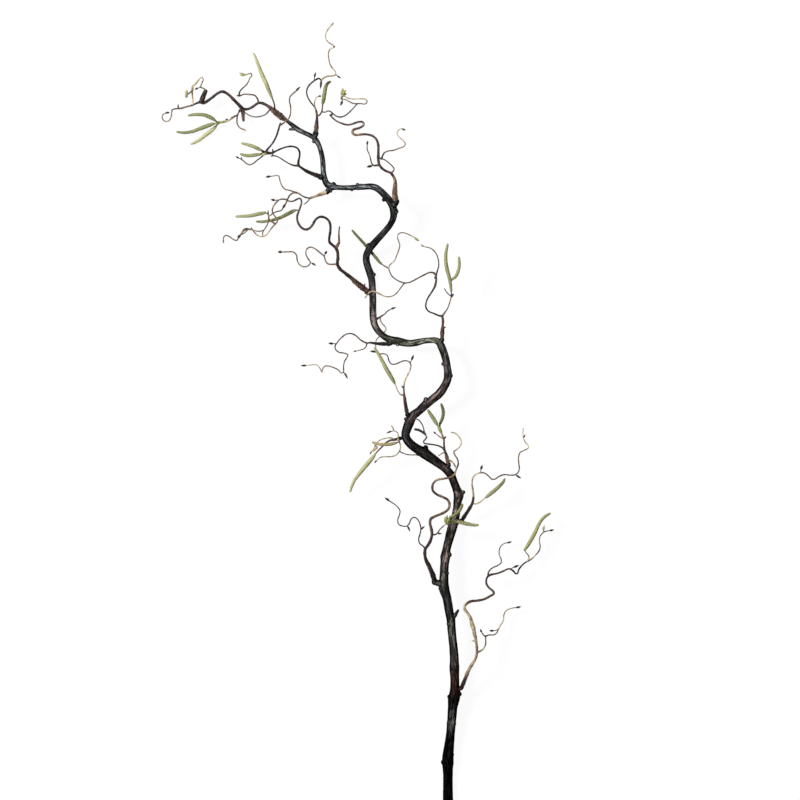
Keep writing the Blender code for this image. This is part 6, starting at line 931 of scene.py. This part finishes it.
class Look:
    """A material made of nodes. A value is a number, a colour or the output of a node."""

    def __init__(self, name, roughness):
        self.material = bpy.data.materials.new(name)
        self.material.use_nodes = True
        self.tree = self.material.node_tree
        self.shader = self.tree.nodes["Principled BSDF"].inputs
        self.give(self.shader, {"Roughness": roughness, "Metallic": 0.0})

    def give(self, sockets, values):
        for key, value in values.items():
            if isinstance(value, bpy.types.NodeSocket):
                self.tree.links.new(value, sockets[key])
            elif sockets[key].type == "RGBA":
                sockets[key].default_value = (*value, 1.0)
            else:
                sockets[key].default_value = value

    def node(self, kind, output, values=None, **settings):
        node = self.tree.nodes.new("ShaderNode" + kind)
        for key, value in settings.items():
            setattr(node, key, value)
        self.give(node.inputs, values or {})
        return node.outputs[output]

    def attribute(self, name, output):
        return self.node("Attribute", output, attribute_type="GEOMETRY", attribute_name=name)

    def noise(self, vector, scale, detail, roughness, stretch=1.0):
        """Noise drawn out along the third axis where stretch is less than 1."""
        mapped = self.node("Mapping", "Vector", {"Vector": vector, "Scale": (1.0, 1.0, stretch)})
        values = {"Vector": mapped, "Scale": scale, "Detail": detail, "Roughness": roughness}
        return self.node("TexNoise", "Fac", values)

    def ramp(self, value, stops):
        node = self.tree.nodes.new("ShaderNodeValToRGB")
        while len(node.color_ramp.elements) < len(stops):
            node.color_ramp.elements.new(1.0)
        for element, (place, colour) in zip(node.color_ramp.elements, stops):
            element.position = place
            element.color = (*colour, 1.0)
        self.give(node.inputs, {"Fac": value})
        return node.outputs["Color"]

    def level(self, value, low, high):
        """0 below low, 1 above high."""
        return self.node("MapRange", "Result", {"Value": value, "From Min": low, "From Max": high})

    def mix(self, share, first, second):
        return self.node("Mix", 2, {0: share, 6: first, 7: second}, data_type="RGBA")

    def times(self, first, second):
        return self.node("Math", 0, {0: first, 1: second}, operation="MULTIPLY")

    def plus(self, first, second):
        return self.node("Math", 0, {0: first, 1: second}, operation="ADD")

    def around_zero(self, value, reach):
        return self.times(self.node("Math", 0, {0: value, 1: 0.5}, operation="SUBTRACT"), reach)

    def scaled(self, colour, gain):
        return self.node("VectorMath", 0, {0: colour, "Scale": gain}, operation="SCALE")

    def axis(self, vector, name):
        return self.node("SeparateXYZ", name, {0: vector})

    def place(self):
        return self.node("TexCoord", "Object")

    def upward(self, low, high):
        """0 on the flanks and underside of a twig, 1 on its upper side: the mask for painted shade on the
        flanks and painted highlight on top.
        """
        return self.level(self.axis(self.node("NewGeometry", "Normal"), "Z"), low, high)

    def finish(self, colour, specular, height, distance, strength):
        """The material with its colour, its shine and a bump of a height."""
        values = {"Distance": distance, "Strength": strength, "Height": height}
        normal = self.node("Bump", "Normal", values)
        self.give(self.shader, {"Base Color": colour, "Specular IOR Level": specular, "Normal": normal})
        return self.material


# Bark of the stem: its reach in Y, in metres, then base and streak colours at shares of it; the streaks show
# only on the upper side, partly the bark's own and partly a painted highlight
STEM_LOW_Y = -0.03
STEM_HIGH_Y = 0.84
STEM_TONES = (
    (0.000, (0.001, 0.001, 0.001)), (0.124, (0.001, 0.001, 0.001)), (0.128, (0.100, 0.100, 0.095)),
    (0.132, (0.001, 0.001, 0.001)), (0.165, (0.002, 0.002, 0.002)), (0.172, (0.020, 0.006, 0.004)),
    (0.196, (0.034, 0.010, 0.006)), (0.212, (0.030, 0.026, 0.022)), (0.268, (0.022, 0.022, 0.020)),
    (0.290, (0.006, 0.006, 0.006)), (0.310, (0.012, 0.012, 0.011)), (0.345, (0.022, 0.020, 0.013)),
    (0.369, (0.045, 0.034, 0.029)), (0.400, (0.026, 0.020, 0.017)), (0.416, (0.028, 0.021, 0.019)),
    (0.440, (0.040, 0.030, 0.026)), (0.487, (0.030, 0.022, 0.020)), (0.502, (0.008, 0.006, 0.005)),
    (0.520, (0.003, 0.002, 0.002)), (0.545, (0.003, 0.002, 0.002)), (0.561, (0.010, 0.007, 0.007)),
    (0.610, (0.036, 0.026, 0.024)), (0.635, (0.014, 0.011, 0.011)), (0.655, (0.008, 0.007, 0.008)),
    (0.675, (0.034, 0.036, 0.024)), (0.695, (0.026, 0.019, 0.017)), (0.826, (0.028, 0.026, 0.026)),
    (0.862, (0.005, 0.008, 0.005)), (0.878, (0.002, 0.002, 0.003)), (0.900, (0.004, 0.005, 0.006)),
    (1.000, (0.007, 0.007, 0.008)),
)
STREAK_AND_HIGHLIGHT_TONES = (
    (0.000, (0.003, 0.003, 0.003)), (0.110, (0.02, 0.02, 0.02)), (0.128, (0.16, 0.16, 0.15)),
    (0.165, (0.02, 0.015, 0.012)), (0.194, (0.12, 0.040, 0.022)), (0.210, (0.18, 0.14, 0.12)),
    (0.268, (0.17, 0.17, 0.145)), (0.290, (0.05, 0.05, 0.05)), (0.330, (0.12, 0.11, 0.09)),
    (0.369, (0.32, 0.23, 0.20)), (0.400, (0.18, 0.14, 0.12)), (0.416, (0.24, 0.18, 0.16)),
    (0.440, (0.32, 0.23, 0.21)), (0.487, (0.28, 0.21, 0.19)), (0.505, (0.07, 0.05, 0.04)),
    (0.520, (0.02, 0.016, 0.013)), (0.545, (0.035, 0.03, 0.03)), (0.561, (0.07, 0.05, 0.05)),
    (0.610, (0.36, 0.27, 0.23)), (0.650, (0.10, 0.09, 0.095)), (0.675, (0.40, 0.43, 0.31)),
    (0.692, (0.32, 0.24, 0.21)), (0.738, (0.24, 0.19, 0.18)), (0.765, (0.07, 0.06, 0.065)),
    (0.826, (0.26, 0.25, 0.25)), (0.862, (0.06, 0.09, 0.06)), (0.880, (0.06, 0.06, 0.07)),
    (0.900, (0.24, 0.28, 0.29)), (0.955, (0.24, 0.24, 0.27)), (1.000, (0.12, 0.11, 0.11)),
)
# Gain on the streak colours, so that they stand as a painted highlight on the stem's upper side
STREAK_AND_HIGHLIGHT_GAIN = 1.5
PALE_SPECK = (0.40, 0.37, 0.31)
STEM_HOLLOW = (0.002, 0.002, 0.002)
# Painted shade: the colour that the stem's flanks and underside are darkened towards
STEM_PAINTED_FLANK_SHADE = (0.003, 0.003, 0.003)


def stem_bark():
    """Rough bark: a dark ground with long silver streaks, brightened on the upper side as a painted
    highlight, painted shade on the flanks, black hollows and pale specks.
    """
    look = Look("stem_bark_detail", 0.55)
    route = look.attribute("route", "Vector")
    up_stem = look.axis(look.place(), "Y")
    along = look.level(up_stem, STEM_LOW_Y, STEM_HIGH_Y)
    # Upper side of the stem: there the streaks are painted as a highlight, and the flanks below it get
    # painted shade
    top = look.upward(0.62, 0.99)
    silver = look.scaled(look.ramp(along, STREAK_AND_HIGHLIGHT_TONES), STREAK_AND_HIGHLIGHT_GAIN)
    streaks = look.noise(route, 0.30, 5.0, 0.6, 0.2)
    # Worn patches on the upper side: where the streaks show, partly as the bark's own streaks and partly as
    # a painted highlight
    wear_and_lit_top = look.times(top, look.level(look.noise(route, 0.16, 3.0, 0.5, 0.3), 0.30, 0.52))
    share = look.times(look.times(look.level(streaks, 0.47, 0.57), wear_and_lit_top), 0.95)
    base = look.mix(share, look.ramp(along, STEM_TONES), silver)
    hollows = look.noise(route, 0.55, 5.0, 0.62, 0.25)
    base = look.mix(look.times(look.level(hollows, 0.51, 0.41), 0.92), base, STEM_HOLLOW)
    # Painted shade: the flanks and underside of the stem darkened towards black
    base = look.mix(look.times(look.level(top, 0.75, 0.0), 0.88), base, STEM_PAINTED_FLANK_SHADE)
    specks = look.level(look.noise(route, 1.5, 2.0, 0.5, 0.7), 0.71, 0.77)
    share = look.times(look.times(specks, look.level(up_stem, 0.09, 0.2)), 0.55)
    base = look.mix(share, base, PALE_SPECK)
    shine = look.times(look.times(look.level(up_stem, 0.11, 0.17), 0.4), wear_and_lit_top)
    look.give(look.shader, {"Roughness": look.level(streaks, 0.95, -0.05)})
    fine = look.noise(route, 2.2, 6.0, 0.7, 0.35)
    height = look.plus(look.times(streaks, 1.2), look.times(fine, 0.6))
    return look.finish(base, shine, height, 0.0012, 0.9)


# Bark of the twigs by their tone, from 0 to TONE_SPAN
TONE_SPAN = 1.5
TWIG_RAMP = (
    (0.00, (0.004, 0.004, 0.004)), (0.17, (0.026, 0.016, 0.017)), (0.34, (0.110, 0.054, 0.039)),
    (0.50, (0.290, 0.195, 0.110)), (0.60, (0.550, 0.430, 0.265)), (0.67, (0.760, 0.640, 0.450)),
    (0.74, (0.540, 0.430, 0.230)), (0.82, (0.230, 0.230, 0.080)),
    (0.93, (0.300, 0.370, 0.100)), (1.00, (0.400, 0.450, 0.150)),
)
# Painted shade: the colour that a twig's flanks and underside are darkened towards
TWIG_PAINTED_FLANK_SHADE = (0.006, 0.004, 0.004)
TWIG_SPECK = (0.36, 0.32, 0.22)


def twig_bark():
    """Twig bark from black-brown to straw by its tone, with streaks, patches and specks, and painted shade
    on its flanks and underside.
    """
    look = Look("twig_bark_detail", 0.5)
    route = look.attribute("route", "Vector")
    streaks = look.noise(route, 1.5, 5.0, 0.65, 0.12)
    patches = look.noise(route, 0.35, 3.0, 0.5, 0.4)
    varied = look.plus(look.attribute("tone", "Fac"), look.around_zero(streaks, 0.7))
    varied = look.plus(varied, look.around_zero(patches, 1.2))
    base = look.ramp(look.times(varied, 1 / TONE_SPAN), TWIG_RAMP)
    specks = look.level(look.noise(route, 2.4, 2.0, 0.5, 0.8), 0.68, 0.74)
    base = look.mix(look.times(specks, 0.6), base, TWIG_SPECK)
    # Painted shade: the flanks and underside of each twig darkened
    top = look.upward(0.1, 0.8)
    base = look.mix(look.times(look.level(top, 0.8, 0.0), 0.6), base, TWIG_PAINTED_FLANK_SHADE)
    height = look.plus(streaks, look.times(look.noise(route, 4.0, 5.0, 0.7, 0.4), 0.5))
    return look.finish(base, look.times(top, 0.35), height, 0.0004, 0.7)


CATKIN_MIDDLE = ((0.0, (0.1, 0.1, 0.1)), (0.45, (1, 1, 1)), (1.0, (0.2, 0.2, 0.2)))
CATKIN_FUZZ = (0.62, 0.58, 0.36)


def catkin_surface(name, base, shadow, warm, warm_share):
    """Catkin scales: painted shade between them and on their flanks, painted light on their lips, warmer
    towards the middle.
    """
    look = Look(name, 0.75)
    place = look.place()
    middle = look.ramp(look.axis(look.attribute("route", "Vector"), "Z"), CATKIN_MIDDLE)
    blotch = look.level(look.noise(place, 160.0, 4.0, 0.6), 0.42, 0.62)
    lit = look.mix(look.times(look.times(middle, blotch), warm_share), base, warm)
    fuzz = look.noise(place, 900.0, 3.0, 0.7)
    lit = look.mix(look.times(look.level(fuzz, 0.5, 0.75), 0.35), lit, CATKIN_FUZZ)
    # Painted shade between the scales and painted light on their lips, from the scale form carried in tone
    colour = look.mix(look.level(look.attribute("tone", "Fac"), -0.30, 0.62), shadow, lit)
    # Painted shade on the flanks and underside
    flank = look.times(look.level(look.upward(0.2, 0.95), 0.9, 0.0), 0.85)
    return look.finish(look.mix(flank, colour, shadow), 0.15, fuzz, 0.0004, 0.6)


# Catkins and leaf buds: base, shadow and warm colours, and the share of the warm one
CATKIN_LOOKS = {
    "plain": ((0.40, 0.41, 0.19), (0.12, 0.13, 0.045), (0.52, 0.47, 0.27), 0.6),
    "pale": ((0.58, 0.57, 0.30), (0.20, 0.20, 0.07), (0.70, 0.62, 0.36), 0.6),
    "middle": ((0.29, 0.31, 0.13), (0.07, 0.08, 0.025), (0.43, 0.40, 0.21), 0.5),
    "dark": ((0.17, 0.20, 0.07), (0.035, 0.045, 0.012), (0.30, 0.29, 0.14), 0.5),
    "warm": ((0.46, 0.48, 0.18), (0.13, 0.14, 0.04), (0.60, 0.46, 0.24), 0.9),
    "tan": ((0.50, 0.41, 0.20), (0.20, 0.15, 0.06), (0.60, 0.47, 0.27), 0.6),
}
LEAF_BUD_LOOK = ((0.42, 0.39, 0.16), (0.13, 0.12, 0.04), (0.58, 0.46, 0.24), 0.5)
CATKIN_KINDS = {
    "catkin_low_right": "warm", "catkin_middle_lower": "dark", "catkin_left_cluster": "tan",
    "catkin_front_upper": "middle", "catkin_front_lower": "pale", "catkin_behind_stem": "dark",
    "catkin_top": "pale", "catkin_far_left_lower": "pale", "catkin_left_drooping": "pale",
    "catkin_far_left_upper": "middle", "catkin_far_left_middle": "middle", "catkin_left_lower": "middle",
    "catkin_beside_top": "middle", "catkin_middle_upper": "middle", "catkin_coil_lower": "middle",
    "catkin_pair_right": "plain", "catkin_mid_left": "plain",
}


def run_tones(tones, label, thin):
    """Tones of a run: its own, or those of the spray's main run, paler at a thin end."""
    if label != "main" and label in tones:
        return tones[label]
    shades = list(tones["main"]) if label == "main" else [tones["main"][-1]] * 2
    if thin:
        shades[-1] = max(shades[-1], THIN_END_TONE)
    return shades


def dress_spray(number, name, stem, stem_line, twig_look, ends):
    """A spray with its buds and dry sheaths, and the stub that carries it."""
    runs, samples = build_runs(SPRAYS[name]["runs"], *stem_line, name == LEADER)
    seats = {entry[1] for entry in (*CATKINS.values(), *LEAF_BUDS.values()) if entry[0] == name}
    mesh = Mesh()
    for place, (label, (curve, radii)) in enumerate(runs.items()):
        tones = run_tones(TWIG_TONES[name], label, radii[-1] < THIN_END_RADIUS)
        blunt = None if label in seats else radii[-1] * 1.2
        flare = 0.0 if label == "main" else SIDE_FLARE
        sides = SLEEVE_SIDES if radii.max() > SMOOTH_RADIUS else TWIG_SIDES
        way = unit(curve[1] - curve[0])
        add_twig(mesh, curve, radii, sides, number * 3 + place, tones, flare, blunt, way)
        ends[name, label] = curve
    for place, (x0, y0, x1, y1, width, neck) in enumerate(SPRAYS[name]["buds"]):
        foot = samples[nearest_sample((x0, y0), samples)] - ROOT_SHIFT * (place + 1)
        rise = foot[2] + BUD_RISE * math.hypot(x1 - foot[0], y1 - foot[1])
        tone = BUD_TONES.get(name, {}).get(place, BUD_TONE)
        add_bud(mesh, foot, (x1, y1, rise), width, neck, number + place * 1.3, tone)
    for foot, tip, width, tone in SHEATHS.get(name, ()):
        add_bud(mesh, foot, tip, width, 0, number, tone)
    if name != LEADER:
        curve, radii = runs["main"]
        add_stub(stem, curve[0], unit(curve[1] - curve[0]), radii[0], *stem_line, number)
    settle(mesh.piece(name + "_bark", twig_look), name)


def dress_catkin(number, name, ends, looks):
    """A catkin past the end of its stalk, with its side arm where it has one."""
    spray, run, diameters, route = CATKINS[name]
    way, start = seat_start(ends[spray, run])
    points, _ = smooth_curve(fill_heights(start + route))
    radii = even_profile(diameters, points)
    points[:, 2] = np.maximum(points[:, 2], radii * CATKIN_ROOM + FLOOR_ROOM)
    mesh = Mesh()
    add_catkin(mesh, points, radii, way, number * 1.9)
    if name in CATKIN_ARMS:
        diameters, route = CATKIN_ARMS[name]
        points, _ = smooth_curve(fill_heights(route))
        add_catkin(mesh, points, even_profile(diameters, points), unit(points[1] - points[0]), number)
    settle(mesh.piece(name + "_scales", looks[CATKIN_KINDS.get(name, "plain")]), name)


def dress_leaf_bud(number, name, ends, look):
    """An open leaf bud: a short stalk and its scales."""
    spray, run, scales = LEAF_BUDS[name]
    way, (seat, _) = seat_start(ends[spray, run])
    heart = np.array(seat) + way * LEAF_BUD_STALK
    stalk = np.linspace(seat, heart, 6)
    mesh = Mesh()
    add_twig(mesh, stalk, np.linspace(0.9, 1.2, 6), TWIG_SIDES, number, (0.6, 0.6), first_way=way)
    for place, scale in enumerate(scales):
        add_bud(mesh, heart, scale[:3], scale[3], 0, number + place, LEAF_TONE)
    settle(mesh.piece(name + "_scales", look), name)


def dress():
    """Build each fine piece, set it on its body and let it stand for its solid."""
    stem_line = stem_surface()
    looks = {kind: catkin_surface("catkin_" + kind, *values) for kind, values in CATKIN_LOOKS.items()}
    twig_look = twig_bark()
    leaf_look = catkin_surface("leaf_bud_detail", *LEAF_BUD_LOOK)
    stem = Mesh()
    add_stem(stem, *stem_line)
    for number, (foot, tip, width) in enumerate(STEM_KNOTS):
        add_knot(stem, foot, tip, width, number * 1.7)
    ends = {}
    for number, name in enumerate(SPRAYS):
        dress_spray(number, name, stem, stem_line, twig_look, ends)
    settle(stem.piece("main_stem_bark", stem_bark()), "main_stem")
    for number, name in enumerate(CATKINS):
        dress_catkin(number, name, ends, looks)
    for number, name in enumerate(LEAF_BUDS):
        dress_leaf_bud(number, name, ends, leaf_look)


def settle(piece, node):
    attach(piece, "root")
    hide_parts(node)


# Camera straight above the branch as it lies: a long lens from far off, 1 m across the frame
CAMERA_CENTRE = (-0.0600, 0.4854)
CAMERA_HEIGHT = 20.0
FOCUS_HEIGHT = 0.022
SENSOR_MM = 36.0
FRAME_WIDTH = 1.0
FLOOR_HALF = 8.0
FLOOR_WHITE = 0.08
FLOOR_GLOW = 0.94
SKY_STRENGTH = 0.10
LAMPS = (("key", (-2.3, 1.7, 2.6), 0.9, 150.0), ("fill", (1.2, 0.2, 3.6), 1.6, 14.0))


def set_stage():
    """White table, soft light from the upper left, and the camera."""
    scene = bpy.context.scene
    scene.view_settings.view_transform = "Standard"
    lens = bpy.data.cameras.new("camera")
    lens.sensor_width = SENSOR_MM
    lens.lens = (CAMERA_HEIGHT - FOCUS_HEIGHT) * SENSOR_MM / FRAME_WIDTH
    lens.clip_end = CAMERA_HEIGHT * 5
    scene.camera = new_object("camera", lens, (*CAMERA_CENTRE, CAMERA_HEIGHT))
    half = FLOOR_HALF
    floor_mesh = bpy.data.meshes.new("floor")
    corners = [(-half, -half, 0), (half, -half, 0), (half, half, 0), (-half, half, 0)]
    floor_mesh.from_pydata(corners, [], [(0, 1, 2, 3)])
    look = Look("floor_white", 1.0)
    look.give(look.shader, {"Base Color": (FLOOR_WHITE,) * 3, "Specular IOR Level": 0.0,
                            "Emission Color": (1.0, 1.0, 1.0), "Emission Strength": FLOOR_GLOW})
    floor_mesh.materials.append(look.material)
    new_object("floor", floor_mesh)
    world = bpy.data.worlds.new("soft_light")
    world.use_nodes = True
    background = world.node_tree.nodes["Background"]
    background.inputs["Color"].default_value = (1.0, 1.0, 1.0, 1.0)
    background.inputs["Strength"].default_value = SKY_STRENGTH
    scene.world = world
    for name, place, size, power in LAMPS:
        light = bpy.data.lights.new(name, "AREA")
        light.energy = power
        light.size = size
        aim = np.array((*CAMERA_CENTRE, 0.0)) - np.array(place)
        lamp = new_object(name, light, place)
        tilt = math.atan2(math.hypot(aim[0], aim[1]), -aim[2])
        lamp.rotation_euler = (tilt, 0, math.atan2(aim[1], aim[0]) - math.pi / 2)


set_stage()
dress()
